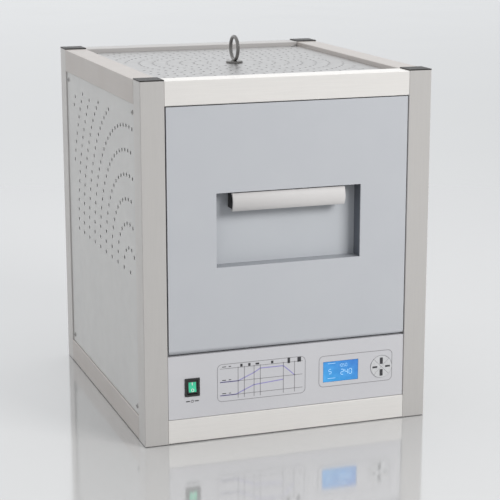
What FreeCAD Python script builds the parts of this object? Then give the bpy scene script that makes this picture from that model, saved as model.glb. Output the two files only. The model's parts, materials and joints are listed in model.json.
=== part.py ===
import FreeCAD, Part

import math
import os

import Sketcher
from FreeCAD import Placement, Rotation, Vector

# Front-loading electric pottery kiln.  Millimetres, +Z up, the front face towards -Y, and the
# origin on the floor under the middle of the square-post frame.

os.makedirs("parts", exist_ok=True)
doc = FreeCAD.newDocument("kiln")

# ---------------------------------------------------------------- driving dimensions
DIMENSIONS = {
    # frame of square aluminium tube
    "frame_w": 500,
    "frame_d": 560,
    "frame_tall": 600,
    "post": 40,
    "tube_wall": 2.5,
    "tube_round": 1.5,
    "cap_thick": 2,
    "foot_thick": 1.2,
    "plug_slack": 0.2,
    # sheet panels
    "sheet": 1.5,
    "panel_inset": 2.5,
    "panel_gap": 0.6,
    "top_recess": 8,
    "base_lift": 30,
    "screw_inset": 14,
    "screw_hole_r": 2.1,
    "tab": 20,
    # perforation
    "vent_r": 2.4,
    "side_vent_r": 3.5,
    "side_ring": 40.5,
    "side_pitch": 18.5,
    "side_centre_back": 85,
    "side_centre_up": 276,
    "side_vent_front": 56,
    "side_vent_back": 470,
    "side_vent_top": 534,
    "top_ring": 24,
    "top_pitch": 18,
    "top_vent_margin": 24,
    # door
    "door_w": 416,
    "door_low": 151.5,
    "door_high": 558.5,
    "door_deep": 34,
    "door_sheet": 2,
    "pivot_r": 8,
    "pocket_w": 251,
    "pocket_low": 293,
    "pocket_high": 416,
    "pocket_deep": 24.5,
    "bar_w": 196,
    "bar_low": 384,
    "bar_high": 414,
    "bar_proud": 2,
    "pin_r": 3,
    "pin_fit": 0.05,
    "bush_r": 4.5,
    "plug_taper": 15,
    "plug_gap": 3,
    "plug_back": 96,
    "rope_r": 3.1,
    # firing chamber and its lining
    "lining_front": 42,
    "chamber_w": 248,
    "chamber_low": 228,
    "chamber_high": 468,
    "chamber_back": 452,
    "brick": 56,
    "board": 26,
    "groove": 12,
    "coil_r": 4.5,
    "coil_step": 38,
    "coil_low": 253,
    "tail_r": 2.5,
    "vent_hole_r": 11,
    "stopper_r": 10,
    # deck between the chamber and the electronics
    "deck_top": 145.5,
    "deck_bar": 20,
    # controls
    "fascia_set": 1.5,
    "fascia_low": 42,
    "fascia_high": 149.5,
    "switch_x": -168.5,
    "switch_z": 95,
    "switch_w": 25.5,
    "switch_tall": 31,
    "window_x": 94.5,
    "window_z": 96,
    "window_w": 64,
    "window_tall": 36,
    "keys_x": 169,
    "keys_z": 96,
    "keys_r": 20,
    "key_split": 0.25,
    # vent plug
    "eye_r": 20,
    "eye_wire_r": 3.1,
    "flange_r": 15,
    # cable gland
    "gland_x": 150,
    "gland_z": 85,
    "gland_bore_r": 4.5,
    "gland_out": 11,
}
sheet = doc.addObject("Spreadsheet::Sheet", "Dims")
for row, (alias, value) in enumerate(DIMENSIONS.items(), start=1):
    sheet.set(f"A{row}", alias)
    sheet.set(f"B{row}", str(value))
    sheet.setAlias(f"B{row}", alias)
doc.recompute()


def size(alias):
    """The sheet's present value of a dimension, in millimetres."""
    return float(sheet.get(alias))


# Places that several pieces share, as expressions on the sheet.
HALF_W = "Dims.frame_w / 2"
INNER_X = "(Dims.frame_w / 2 - Dims.post)"
HALF_D = "Dims.frame_d / 2"
TUBE_X = "(Dims.frame_w - Dims.post) / 2"
TUBE_Y = "(Dims.frame_d - Dims.post) / 2"
TOP_TUBE_Z = "(Dims.frame_tall - Dims.post / 2)"
LOW_TUBE_Z = "(Dims.foot_thick + Dims.post / 2)"
PANEL_X = "(Dims.frame_w / 2 - Dims.post - Dims.panel_gap)"
PANEL_Y = "(Dims.frame_d / 2 - Dims.post - Dims.panel_gap)"
PANEL_LOW = "(Dims.foot_thick + Dims.post + Dims.panel_gap)"
PANEL_HIGH = "(Dims.frame_tall - Dims.post - Dims.panel_gap)"
CHAMBER_X = "(Dims.chamber_w / 2)"
BRICK_X = "(Dims.chamber_w / 2 + Dims.brick)"
BOARD_X = "(Dims.chamber_w / 2 + Dims.brick + Dims.board)"
BRICK_BACK = "(Dims.chamber_back + Dims.brick)"
BOARD_BACK = "(Dims.chamber_back + Dims.brick + Dims.board)"
BRICK_LOW = "(Dims.chamber_low - Dims.brick)"
BRICK_HIGH = "(Dims.chamber_high + Dims.brick)"
BOARD_HIGH = "(Dims.chamber_high + Dims.brick + Dims.board)"
TOP_PLATE = "(Dims.frame_tall - Dims.top_recess)"
PIVOT_Z = "(Dims.door_low + Dims.pivot_r)"
X_AXIS = Rotation(Vector(0, 1, 0), 90)
Y_AXIS = Rotation(Vector(1, 0, 0), -90)
LABELS = []


def behind(distance):
    """The y of a plane this far behind the front face."""
    return f"({distance}) - Dims.frame_d / 2"


def mid(low, high):
    return f"(({low}) + ({high})) / 2"


# ---------------------------------------------------------------- shared ways of building
def node(piece, label):
    """Mark an object as one of the kiln's sub-parts, and name its file."""
    piece.Label = label
    LABELS.append(piece)
    return piece


def place(piece, x="0", y="0", z="0", turn=None):
    if turn is not None:
        piece.Placement = Placement(Vector(0, 0, 0), turn)
    for axis, value in (("x", x), ("y", y), ("z", z)):
        piece.setExpression(f"Placement.Base.{axis}", value)
    return piece


def block(name, x, y, z):
    """A box from low to high on each axis."""
    box = doc.addObject("Part::Box", name)
    for length, (low, high) in (("Length", x), ("Width", y), ("Height", z)):
        box.setExpression(length, f"({high}) - ({low})")
    return place(box, x[0], y[0], z[0])


def rod(name, radius, length, x, y, z, turn=None):
    """A cylinder that starts at (x, y, z) and runs along +Z, or along its turned axis."""
    cylinder = doc.addObject("Part::Cylinder", name)
    cylinder.setExpression("Radius", radius)
    cylinder.setExpression("Height", length)
    return place(cylinder, x, y, z, turn)


def fuse(name, pieces):
    joined = doc.addObject("Part::MultiFuse", name)
    joined.Shapes = pieces
    joined.Refine = True
    return joined


def cut(name, base, tools):
    """The base with every tool taken away from it."""
    result = doc.addObject("Part::Cut", name)
    result.Base = base
    result.Tool = tools[0] if len(tools) == 1 else group(f"{name}_tools", tools)
    return result


def group(name, pieces):
    """Several separate solids kept as one object."""
    bundle = doc.addObject("Part::Compound", name)
    bundle.Links = pieces
    return bundle


def copies(name, master, places):
    """One solid at each (x, y, z, turn), bundled into one object."""
    links = []
    for number, (x, y, z, turn) in enumerate(places, start=1):
        link = doc.addObject("App::Link", f"{name}_{number}")
        link.LinkedObject = master
        links.append(place(link, x, y, z, turn))
    return group(name, links)


def plane_sketch(body, role, name):
    """A sketch on one of the body's own origin planes."""
    sketch = body.newObject("Sketcher::SketchObject", name)
    plane = next(f for f in body.Origin.OriginFeatures if f.Role == role)
    sketch.AttachmentSupport = [(plane, "")]
    sketch.MapMode = "FlatFace"
    return sketch


def bind(sketch, number, value):
    sketch.setExpression(f"Constraints[{number}]", value)


def outline(sketch, points, bulges=None):
    """A closed outline through the points; bulges gives arcs as {segment: point on the arc}.

    Each corner's coordinates are sheet expressions, and each one is bound to its own constraint.
    """
    bulges = bulges or {}
    corner = [Vector(evaluate(x), evaluate(y), 0) for x, y in points]
    first = sketch.GeometryCount
    for i, start in enumerate(corner):
        end = corner[(i + 1) % len(corner)]
        if i in bulges:
            through = Vector(evaluate(bulges[i][0]), evaluate(bulges[i][1]), 0)
            arc = Part.Arc(start, through, end)
            sketch.addGeometry(arc)
        else:
            sketch.addGeometry(Part.LineSegment(start, end))
    ends = {i: arc_ends(sketch, first + i, corner[i]) for i in range(len(corner))}
    for i in range(len(corner)):
        following = (i + 1) % len(corner)
        sketch.addConstraint(
            Sketcher.Constraint(
                "Coincident", first + i, ends[i][1], first + following, ends[following][0]
            )
        )
        for kind, value in (("DistanceX", points[i][0]), ("DistanceY", points[i][1])):
            at = getattr(corner[i], "x" if kind == "DistanceX" else "y")
            number = sketch.addConstraint(
                Sketcher.Constraint(kind, -1, 1, first + i, ends[i][0], at)
            )
            bind(sketch, number, value)


def arc_ends(sketch, geometry, start):
    """Which of a segment's two ends lies at its start: arcs are kept anticlockwise."""
    if (sketch.getPoint(geometry, 1) - start).Length < 1e-6:
        return 1, 2
    return 2, 1


def evaluate(expression):
    """The number that a sheet expression stands for."""
    result = sheet.evalExpression(expression)
    return float(getattr(result, "Value", result))


def rectangle(sketch, x, y):
    outline(sketch, [(x[0], y[0]), (x[1], y[0]), (x[1], y[1]), (x[0], y[1])])


def circle(sketch, radius, x, y):
    """A bound circle; returns its geometry number."""
    centre = Vector(evaluate(x), evaluate(y), 0)
    ring = sketch.addGeometry(Part.Circle(centre, Vector(0, 0, 1), evaluate(radius)))
    constraints = (
        ("DistanceX", (-1, 1, ring, 3), centre.x, x),
        ("DistanceY", (-1, 1, ring, 3), centre.y, y),
        ("Radius", (ring,), evaluate(radius), radius),
    )
    for kind, what, value, expression in constraints:
        bind(sketch, sketch.addConstraint(Sketcher.Constraint(kind, *what, value)), expression)
    return ring


def pad(body, sketch, length, centred=False):
    feature = body.newObject("PartDesign::Pad", f"{sketch.Name}_pad")
    feature.Profile = sketch
    feature.setExpression("Length", length)
    feature.Midplane = centred
    return feature


def pocket(body, sketch, length=None, centred=True):
    """Take the sketch away through the whole body, or to a depth; fails if nothing is cut."""
    doc.recompute()
    before = body.Shape.Volume
    feature = body.newObject("PartDesign::Pocket", f"{sketch.Name}_pocket")
    feature.Profile = sketch
    feature.Midplane = centred
    if length is None:
        feature.Type = "ThroughAll"
    else:
        feature.setExpression("Length", length)
    doc.recompute()
    assert body.Shape.Volume < before, f"{sketch.Name} cuts nothing"
    return feature


def new_body(name):
    return doc.addObject("PartDesign::Body", name)


def side_sketch(body, name):
    """A sketch in the YZ plane: its x is the object's y, and its y is the object's z."""
    return plane_sketch(body, "YZ_Plane", name)


def front_sketch(body, name):
    """A sketch in the XZ plane: its x is the object's x, and its y is the object's z."""
    return plane_sketch(body, "XZ_Plane", name)


def sheet_panel(name, role, x, y, holes):
    """A flat panel with bound round holes."""
    body = new_body(name)
    face = plane_sketch(body, role, f"{name}_face")
    rectangle(face, x, y)
    pad(body, face, "Dims.sheet")
    bores = plane_sketch(body, role, f"{name}_bores")
    for radius, hole_x, hole_y in holes:
        circle(bores, radius, hole_x, hole_y)
    pocket(body, bores)
    return body


def perforate(name, panel, radius, centres, turn=None):
    """Take one vent bore away from the panel at each centre, where turn lays the bore's axis."""
    length = "8 * Dims.sheet"
    bore = rod(f"{name}_bore", radius, length, "0", "0", "0", turn)
    links = []
    for number, centre in enumerate(centres, start=1):
        link = doc.addObject("App::Link", f"{name}_bore_{number}")
        link.LinkedObject = bore
        link.LinkTransform = False
        link.Placement = Placement(centre, turn or Rotation())
        links.append(link)
    return cut(f"{name}_perforated", panel, [group(f"{name}_bores", links)])


def corner_holes(x, y, inset="Dims.screw_inset"):
    """Screw holes set in from the four corners of an opening."""
    return [
        ("Dims.screw_hole_r", f"({x[i]}) {sx} {inset}", f"({y[j]}) {sy} {inset}")
        for i, sx in ((0, "+"), (1, "-"))
        for j, sy in ((0, "+"), (1, "-"))
    ]


# ---------------------------------------------------------------- frame
def tube(name, length):
    """A square tube along +Z from the origin, rounded on its four long outer edges."""
    body = new_body(name)
    outer = plane_sketch(body, "XY_Plane", f"{name}_outer")
    rectangle(outer, ("-Dims.post / 2", "Dims.post / 2"), ("-Dims.post / 2", "Dims.post / 2"))
    solid = pad(body, outer, length)
    doc.recompute()
    long_edges = [
        f"Edge{number}"
        for number, edge in enumerate(solid.Shape.Edges, start=1)
        if abs(edge.Vertexes[0].Z - edge.Vertexes[-1].Z) > 1
    ]
    rounding = body.newObject("PartDesign::Fillet", f"{name}_rounding")
    rounding.Base = (solid, long_edges)
    rounding.setExpression("Radius", "Dims.tube_round")
    inner = plane_sketch(body, "XY_Plane", f"{name}_inner")
    inside = ("-Dims.post / 2 + Dims.tube_wall", "Dims.post / 2 - Dims.tube_wall")
    rectangle(inner, inside, inside)
    pocket(body, inner)
    return body


POST_LENGTH = "Dims.frame_tall - Dims.foot_thick"
WIDE_LENGTH = "Dims.frame_w - 2 * Dims.post"
DEEP_LENGTH = "Dims.frame_d - 2 * Dims.post"
WIDE_START = f"-({INNER_X})"
DEEP_START = "Dims.post - Dims.frame_d / 2"
CORNERS = [("left", "front"), ("right", "front"), ("left", "back"), ("right", "back")]
SIGN = {"left": "-", "right": "", "front": "-", "back": ""}


def build_posts():
    for side, end in CORNERS:
        name = f"post_{end}_{side}"
        post = tube(f"{name}_tube", POST_LENGTH)
        place(post, f"{SIGN[side]}({TUBE_X})", f"{SIGN[end]}({TUBE_Y})", "Dims.foot_thick")
        if end == "back":
            node(post, name)
            continue
        # the hinge pin goes through the inner wall of each front post
        start = f"-({INNER_X}) - Dims.post / 2" if side == "left" else INNER_X
        y = behind("Dims.pivot_r")
        hole = rod(f"{name}_hole", "Dims.pin_r + 0.1", "Dims.post / 2", start, y, PIVOT_Z, X_AXIS)
        node(cut(f"{name}_drilled", post, [hole]), name)


def build_rails():
    fronts = {"rail_top_front": TOP_TUBE_Z, "rail_bottom_front": LOW_TUBE_Z}
    for name, z in fronts.items():
        rail = tube(f"{name}_tube", WIDE_LENGTH)
        node(place(rail, WIDE_START, f"-({TUBE_Y})", z, X_AXIS), name)
    backs = []
    for number, z in enumerate((TOP_TUBE_Z, LOW_TUBE_Z)):
        rail = tube(f"rail_back_tube_{number}", WIDE_LENGTH)
        backs.append(place(rail, WIDE_START, TUBE_Y, z, X_AXIS))
    node(group("rails_back_pair", backs), "rails_back")
    sides = []
    for number, (sign, z) in enumerate(
        (sign, z) for sign in ("-", "") for z in (TOP_TUBE_Z, LOW_TUBE_Z)
    ):
        rail = tube(f"rail_side_tube_{number}", DEEP_LENGTH)
        sides.append(place(rail, f"{sign}({TUBE_X})", DEEP_START, z, Y_AXIS))
    node(group("rails_side_four", sides), "rails_side")


INSIDE_TUBE = "(Dims.post - 2 * Dims.tube_wall - 2 * Dims.plug_slack)"


def square_plug(name, flange, thick, plug_length, plug_up):
    """An end plug: a square flange on z = 0, and a smaller square that enters the tube."""
    half, small = f"({flange}) / 2", f"{INSIDE_TUBE} / 2"
    plug_z = ("0", plug_length) if plug_up else (f"-({plug_length})", "0")
    flange_z = (f"-({thick})", "0") if plug_up else ("0", thick)
    head = block(f"{name}_head", (f"-{half}", half), (f"-{half}", half), flange_z)
    body = block(f"{name}_body", (f"-{small}", small), (f"-{small}", small), plug_z)
    return fuse(name, [head, body])


def build_end_plugs():
    at = [(f"{SIGN[side]}({TUBE_X})", f"{SIGN[end]}({TUBE_Y})") for side, end in CORNERS]
    cap = square_plug("cap_plug", "Dims.post", "Dims.cap_thick", "12", plug_up=False)
    node(copies("caps", cap, [(x, y, "Dims.frame_tall", None) for x, y in at]), "post_caps")
    foot = square_plug("foot_plug", "Dims.post - 2", "Dims.foot_thick", "12", plug_up=True)
    node(copies("feet", foot, [(x, y, "Dims.foot_thick", None) for x, y in at]), "foot_plugs")


def build_rail_end_blocks():
    """A block inside each end of each rail, which a hidden screw pulls against the post."""
    half = f"{INSIDE_TUBE} / 2"
    body = block("end_block_body", (f"-{half}", half), (f"-{half}", half), ("0", "24"))
    bore = rod("end_block_bore", "4.2", "24", "0", "0", "0")
    master = cut("end_block", body, [bore])
    places = []
    for z in (TOP_TUBE_Z, LOW_TUBE_Z):
        for sign in ("-", ""):
            for start in (WIDE_START, f"{INNER_X} - 24"):
                places.append((start, f"{sign}({TUBE_Y})", z, X_AXIS))
            for start in (DEEP_START, "Dims.frame_d / 2 - Dims.post - 24"):
                places.append((f"{sign}({TUBE_X})", start, z, Y_AXIS))
    node(copies("end_blocks", master, places), "rail_end_blocks")


# ---------------------------------------------------------------- panels
OPEN_Y = (DEEP_START, "Dims.frame_d / 2 - Dims.post")
OPEN_X = (f"-{INNER_X}", INNER_X)
OPEN_Z = ("Dims.foot_thick + Dims.post", "Dims.frame_tall - Dims.post")


def side_vents():
    """Rings about one point near the front, clipped to a rectangle: (y, z) of each hole."""
    centre_y = size("side_centre_back") - size("frame_d") / 2
    centre_z = size("side_centre_up")
    low_y = size("side_vent_front") - size("frame_d") / 2
    high_y = size("side_vent_back") - size("frame_d") / 2
    holes = [(centre_y, centre_z)]
    ring = size("side_ring")
    while ring < math.hypot(high_y - centre_y, size("side_vent_top") - centre_z):
        step = size("side_pitch") / ring
        for number in range(int(math.pi / step)):
            y = centre_y + ring * math.cos(number * step)
            z = centre_z + ring * math.sin(number * step)
            if low_y <= y <= high_y and z <= size("side_vent_top"):
                holes.append((y, z))
        ring += size("side_ring")
    return holes


def top_vents():
    """Rings about the vent plug, out to the plate's margin: (x, y) of each hole."""
    reach_x = size("frame_w") / 2 - size("post") - size("top_vent_margin")
    reach_y = size("frame_d") / 2 - size("post") - size("top_vent_margin")
    holes = []
    ring = 2 * size("top_ring")
    while ring < math.hypot(reach_x, reach_y):
        count = round(2 * math.pi * ring / size("top_pitch"))
        for number in range(count):
            x = ring * math.cos(2 * math.pi * number / count)
            y = ring * math.sin(2 * math.pi * number / count)
            if abs(x) <= reach_x and abs(y) <= reach_y:
                holes.append((x, y))
        ring += size("top_ring")
    return holes


def build_panels():
    panel_y = (f"-{PANEL_Y}", PANEL_Y)
    panel_x = (f"-{PANEL_X}", PANEL_X)
    panel_z = (PANEL_LOW, PANEL_HIGH)
    starts = {
        "side_panel_left": f"Dims.panel_inset - {HALF_W}",
        "side_panel_right": f"{HALF_W} - Dims.panel_inset - Dims.sheet",
    }
    over = 3 * size("sheet")
    for name, x in starts.items():
        panel = sheet_panel(f"{name}_sheet", "YZ_Plane", panel_y, panel_z, corner_holes(OPEN_Y, OPEN_Z))
        place(panel, x)
        centres = [Vector(evaluate(x) - over, y, z) for y, z in side_vents()]
        node(perforate(name, panel, "Dims.side_vent_r", centres, X_AXIS), name)
    gland = ("8.3", "Dims.gland_x", "Dims.gland_z")
    holes = corner_holes(OPEN_X, OPEN_Z) + [gland]
    back = sheet_panel("back_sheet", "XZ_Plane", panel_x, panel_z, holes)
    back_y = f"{HALF_D} - Dims.panel_inset"
    place(back, "0", back_y)
    centres = [Vector(x, evaluate(back_y) - 2 * over, z) for x, z in back_vents()]
    node(perforate("back", back, "Dims.vent_r", centres, Y_AXIS), "back_panel")
    stopper_hole = ("Dims.stopper_r + 1.5", "0", "0")
    holes = corner_holes(OPEN_X, OPEN_Y) + [stopper_hole]
    top = sheet_panel("top_sheet", "XY_Plane", panel_x, panel_y, holes)
    place(top, "0", "0", f"{TOP_PLATE} - Dims.sheet")
    centres = [Vector(x, y, evaluate(TOP_PLATE) - 2 * over) for x, y in top_vents()]
    node(perforate("top", top, "Dims.vent_r", centres), "top_panel")
    base = sheet_panel("base_sheet", "XY_Plane", panel_x, panel_y, corner_holes(OPEN_X, OPEN_Y))
    node(place(base, "0", "0", "Dims.base_lift"), "base_panel")


def back_vents():
    """Two short rows of vent holes over the electronics bay, on the left of the back."""
    pitch = 4 * size("vent_r")
    return [
        (column * pitch - size("gland_x"), size("gland_z") + row * pitch)
        for row in (-1, 0, 1)
        for column in range(12)
    ]


def panel_fixings():
    """Where each panel screw enters: (x, y, z, turn from +Z, quarter turn of its tab)."""
    fixings = []
    for sx, sy in ((-1, -1), (-1, 1), (1, -1), (1, 1)):
        near = {-1: 0, 1: 1}
        edge_x = f"{OPEN_X[near[sx]]} - ({sx}) * Dims.screw_inset"
        edge_y = f"{OPEN_Y[near[sy]]} - ({sy}) * Dims.screw_inset"
        across = Rotation(Vector(0, 0, 1), 90 - sx * 90)
        fixings.append((edge_x, edge_y, TOP_PLATE, across))
        flip = Rotation(Vector(1, 0, 0), 180)
        fixings.append((edge_x, edge_y, "Dims.base_lift", across * flip))
    for side, outward in (("-", -1), ("", 1)):
        face = Rotation(Vector(0, 1, 0), 90 * outward)
        for sy in (-1, 1):
            for z in (f"{OPEN_Z[0]} + Dims.screw_inset", f"{OPEN_Z[1]} - Dims.screw_inset"):
                y = f"{OPEN_Y[(sy + 1) // 2]} - ({sy}) * Dims.screw_inset"
                spin = Rotation(Vector(0, 0, 1), -sy * 90)
                fixings.append((f"{side}({HALF_W} - Dims.panel_inset)", y, z, face * spin))
    back = Rotation(Vector(1, 0, 0), -90)
    for sx in (-1, 1):
        for z in (f"{OPEN_Z[0]} + Dims.screw_inset", f"{OPEN_Z[1]} - Dims.screw_inset"):
            x = f"{OPEN_X[(sx + 1) // 2]} - ({sx}) * Dims.screw_inset"
            spin = Rotation(Vector(0, 0, 1), 90 - sx * 90)
            fixings.append((x, f"{HALF_D} - Dims.panel_inset", z, back * spin))
    return fixings


def build_panel_fixings():
    """Pan-head socket screws, and the angle tabs that they pull the panels against."""
    fixings = panel_fixings()
    screw = new_body("panel_screw")
    half = plane_sketch(screw, "XZ_Plane", "panel_screw_half")
    shank = [("0", "-8"), ("2", "-8"), ("2", "0")]
    head = [("4", "0"), ("4", "0.8"), ("2.6", "2.2"), ("0", "2.2")]
    outline(half, shank + head, {4: ("3.6", "1.8")})
    turned = screw.newObject("PartDesign::Revolution", "panel_screw_turned")
    turned.Profile = half
    turned.ReferenceAxis = (half, ["V_Axis"])
    turned.Angle = 360
    doc.recompute()
    node(copies("screws", screw, fixings), "panel_screws")
    behind_sheet = "-Dims.sheet"
    flat_z = (f"{behind_sheet} - Dims.sheet", behind_sheet)
    wall_x = ("Dims.screw_inset - Dims.sheet", "Dims.screw_inset")
    across = ("-Dims.tab / 2", "Dims.tab / 2")
    flat = block("tab_flat", ("-Dims.tab / 2 + 2", "Dims.screw_inset"), across, flat_z)
    wall = block("tab_wall", wall_x, across, (f"{behind_sheet} - Dims.tab", behind_sheet))
    hole = rod("tab_hole", "Dims.screw_hole_r", "4 * Dims.sheet", "0", "0", "-4 * Dims.sheet")
    tab = cut("tab", fuse("tab_bent", [flat, wall]), [hole])
    node(copies("tabs", tab, fixings), "panel_tabs")


# ---------------------------------------------------------------- deck under the chamber
def build_deck():
    low, high = "Dims.deck_top - Dims.sheet - Dims.deck_bar", "Dims.deck_top - Dims.sheet"
    x = (f"-{INNER_X}", INNER_X)
    front = block("deck_front", x, (behind("8"), behind("8 + Dims.deck_bar")), (low, high))
    back_y = (f"{HALF_D} - 8 - Dims.deck_bar", f"{HALF_D} - 8")
    back = block("deck_back", x, back_y, (low, high))
    between = (behind("8 + Dims.deck_bar"), f"{HALF_D} - 8 - Dims.deck_bar")
    left = block("deck_left", (f"-{INNER_X}", f"-{INNER_X} + Dims.deck_bar"), between, (low, high))
    right = block("deck_right", (f"{INNER_X} - Dims.deck_bar", INNER_X), between, (low, high))
    node(group("deck_bars", [front, back, left, right]), "deck_frame")
    y = (behind("18"), f"{HALF_D} - 8")
    plate = block("deck_sheet", (f"-{PANEL_X}", PANEL_X), y, (high, "Dims.deck_top"))
    node(plate, "deck_plate")


# ---------------------------------------------------------------- lining and chamber
COILS = 6
TERMINAL_END = "552"
PROBE_X, PROBE_Z = "60", "430"


def wall_y(start, end):
    return behind(start), behind(end)


def coil_z(number):
    return f"(Dims.coil_low + {number} * Dims.coil_step)"


def stopper_bore(name):
    return rod(name, "Dims.vent_hole_r", BOARD_HIGH, "0", "0", "0")


def tail_bores(name, signs=("-", "")):
    """Lead-out holes for the ends of the heating elements, through the back."""
    return [
        rod(
            f"{name}_{side or 'plus'}_{number}".replace("-", "minus"),
            "Dims.tail_r + 0.5",
            f"{TERMINAL_END} - Dims.chamber_back + 20",
            f"{side}({CHAMBER_X} + Dims.groove / 2 + 1)",
            behind("Dims.chamber_back - 20"),
            coil_z(number),
            Y_AXIS,
        )
        for side in signs
        for number in (0, COILS - 1)
    ]


def probe_bore(name):
    return rod(name, "4.5", "200", PROBE_X, behind("400"), PROBE_Z, Y_AXIS)


def build_insulation():
    deep = wall_y("Dims.lining_front", BOARD_BACK)
    wide = (f"-{BOARD_X}", BOARD_X)
    level = (BRICK_LOW, BRICK_HIGH)
    floor = block("board_floor", wide, deep, ("Dims.deck_top", BRICK_LOW))
    left = block("board_left", (f"-{BOARD_X}", f"-{BRICK_X}"), deep, level)
    right = block("board_right", (BRICK_X, BOARD_X), deep, level)
    back = block("board_back", (f"-{BRICK_X}", BRICK_X), wall_y(BRICK_BACK, BOARD_BACK), level)
    back = cut("board_back_drilled", back, tail_bores("board_tail") + [probe_bore("board_probe")])
    roof = block("board_roof", wide, deep, (BRICK_HIGH, BOARD_HIGH))
    roof = cut("board_roof_drilled", roof, [stopper_bore("board_vent")])
    node(group("boards", [floor, left, right, back, roof]), "insulation_boards")


def build_bricks():
    deep = wall_y("Dims.lining_front", BRICK_BACK)
    wide = (f"-{BRICK_X}", BRICK_X)
    inside = ("Dims.chamber_low", "Dims.chamber_high")
    node(block("brick_floor_slab", wide, deep, (BRICK_LOW, inside[0])), "brick_floor")
    roof = block("brick_roof_slab", wide, deep, (inside[1], BRICK_HIGH))
    node(cut("brick_roof_drilled", roof, [stopper_bore("brick_vent")]), "brick_roof")
    back_y = wall_y("Dims.chamber_back", BRICK_BACK)
    back = block("brick_back_slab", (f"-{CHAMBER_X}", CHAMBER_X), back_y, inside)
    node(cut("brick_back_drilled", back, [probe_bore("brick_probe")]), "brick_back")
    for side, sign in (("left", "-"), ("right", "")):
        x = (CHAMBER_X, BRICK_X) if side == "right" else (f"-{BRICK_X}", f"-{CHAMBER_X}")
        slab = block(f"brick_{side}_slab", x, deep, inside)
        tools = grooves(side) + tail_bores(f"brick_{side}_tail", (sign,))
        node(cut(f"brick_{side}_cut", slab, tools), f"brick_{side}")


GROOVE_FRONT, GROOVE_BACK = "58", "446"


def grooves(side):
    """One groove for each run of the coil, and one across each pair where the coil turns back."""
    depth = "(Dims.groove + 2)"
    inner = (f"-{CHAMBER_X} - {depth}", f"-{CHAMBER_X}")
    outer = (CHAMBER_X, f"{CHAMBER_X} + {depth}")
    x = outer if side == "right" else inner
    half = "Dims.groove / 2"
    tools = []
    for number in range(COILS):
        z = (f"{coil_z(number)} - {half}", f"{coil_z(number)} + {half}")
        y = (behind(GROOVE_FRONT), behind(GROOVE_BACK))
        tools.append(block(f"groove_{side}_{number}", x, y, z))
    for number in range(COILS - 1):
        turn = "Dims.coil_step / 2 + Dims.groove"
        at_front = (behind(GROOVE_FRONT), behind(f"{GROOVE_FRONT} + {turn}"))
        at_back = (behind(f"{GROOVE_BACK} - ({turn})"), behind(GROOVE_BACK))
        y = at_front if number % 2 == 0 else at_back
        z = (f"{coil_z(number)} - {half}", f"{coil_z(number + 1)} + {half}")
        tools.append(block(f"groove_turn_{side}_{number}", x, y, z))
    return [fuse(f"grooves_{side}", tools)]


def coil_path(side):
    """Six straight runs joined by half circles, as one wire; both ends are at the back."""
    x = size("chamber_w") / 2 + size("groove") / 2 + 1
    x = -x if side == "left" else x
    front_y = float(GROOVE_FRONT) - size("frame_d") / 2
    back_y = float(GROOVE_BACK) - size("frame_d") / 2
    bend = size("coil_step") / 2
    clear = size("groove") / 2 + bend
    edges = []
    for number in range(COILS):
        z = size("coil_low") + number * size("coil_step")
        near = Vector(x, front_y + clear, z)
        ends_here = number in (0, COILS - 1)
        far = Vector(x, back_y if ends_here else back_y - clear, z)
        outbound = number % 2 == 0
        start, end = (far, near) if outbound else (near, far)
        edges.append(Part.LineSegment(start, end).toShape())
        if number == COILS - 1:
            break
        top = Vector(end.x, end.y, z + size("coil_step"))
        middle = Vector(x, end.y - bend if outbound else end.y + bend, z + bend)
        edges.append(Part.Arc(end, middle, top).toShape())
    wire = doc.addObject("Part::Feature", f"coil_path_{side}")
    wire.Shape = Part.Wire(edges)
    return wire


def sweep(name, path, radius, x, y, z, turn):
    """A round bar of constant radius along a wire that starts at (x, y, z)."""
    section = doc.addObject("Part::Circle", f"{name}_section")
    section.setExpression("Radius", radius)
    place(section, x, y, z, turn)
    bar = doc.addObject("Part::Sweep", name)
    bar.Sections = [section]
    bar.Spine = (path, [f"Edge{number + 1}" for number in range(len(path.Shape.Edges))])
    bar.Solid = True
    bar.Transition = "Right corner"
    return bar


def build_elements():
    clamps = []
    for side, sign in (("left", "-"), ("right", "")):
        x = f"{sign}({CHAMBER_X} + Dims.groove / 2 + 1)"
        path = coil_path(side)
        coil = sweep(f"coil_{side}", path, "Dims.coil_r", x, behind(GROOVE_BACK), coil_z(0), Y_AXIS)
        tails = []
        for number in (0, COILS - 1):
            z = coil_z(number)
            length = f"{TERMINAL_END} - {GROOVE_BACK} + 6"
            start = behind(f"{GROOVE_BACK} - 6")
            tails.append(rod(f"tail_{side}_{number}", "Dims.tail_r", length, x, start, z, Y_AXIS))
            at = behind(f"{TERMINAL_END} - 14")
            clamp = rod(f"clamp_{side}_{number}", "6", "12", x, at, z, Y_AXIS)
            bore = rod(f"clamp_bore_{side}_{number}", "Dims.tail_r + 0.05", "12", x, at, z, Y_AXIS)
            clamps.append(cut(f"clamp_bored_{side}_{number}", clamp, [bore]))
        node(fuse(f"element_{side}", [coil] + tails), f"heating_element_{side}")
    node(group("clamps", clamps), "element_terminals")


def build_chamber_fittings():
    start = behind("427")
    sheath = rod("probe_sheath", "4", "112", PROBE_X, start, PROBE_Z, Y_AXIS)
    head = rod("probe_head", "12", "14", PROBE_X, behind("536"), PROBE_Z, Y_AXIS)
    node(fuse("probe", [sheath, head]), "thermocouple")
    slab_low = "Dims.chamber_low + 12"
    slab = block("shelf_slab", ("-100", "100"), wall_y("115", "415"), (slab_low, f"{slab_low} + 12"))
    feet = [
        block(
            f"shelf_foot_{number}",
            (x, f"{x} + 24"),
            wall_y(y, f"{y} + 24"),
            ("Dims.chamber_low", slab_low),
        )
        for number, (x, y) in enumerate((x, y) for x in ("-96", "72") for y in ("120", "386"))
    ]
    node(fuse("shelf", [slab] + feet), "hearth_shelf")


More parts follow.
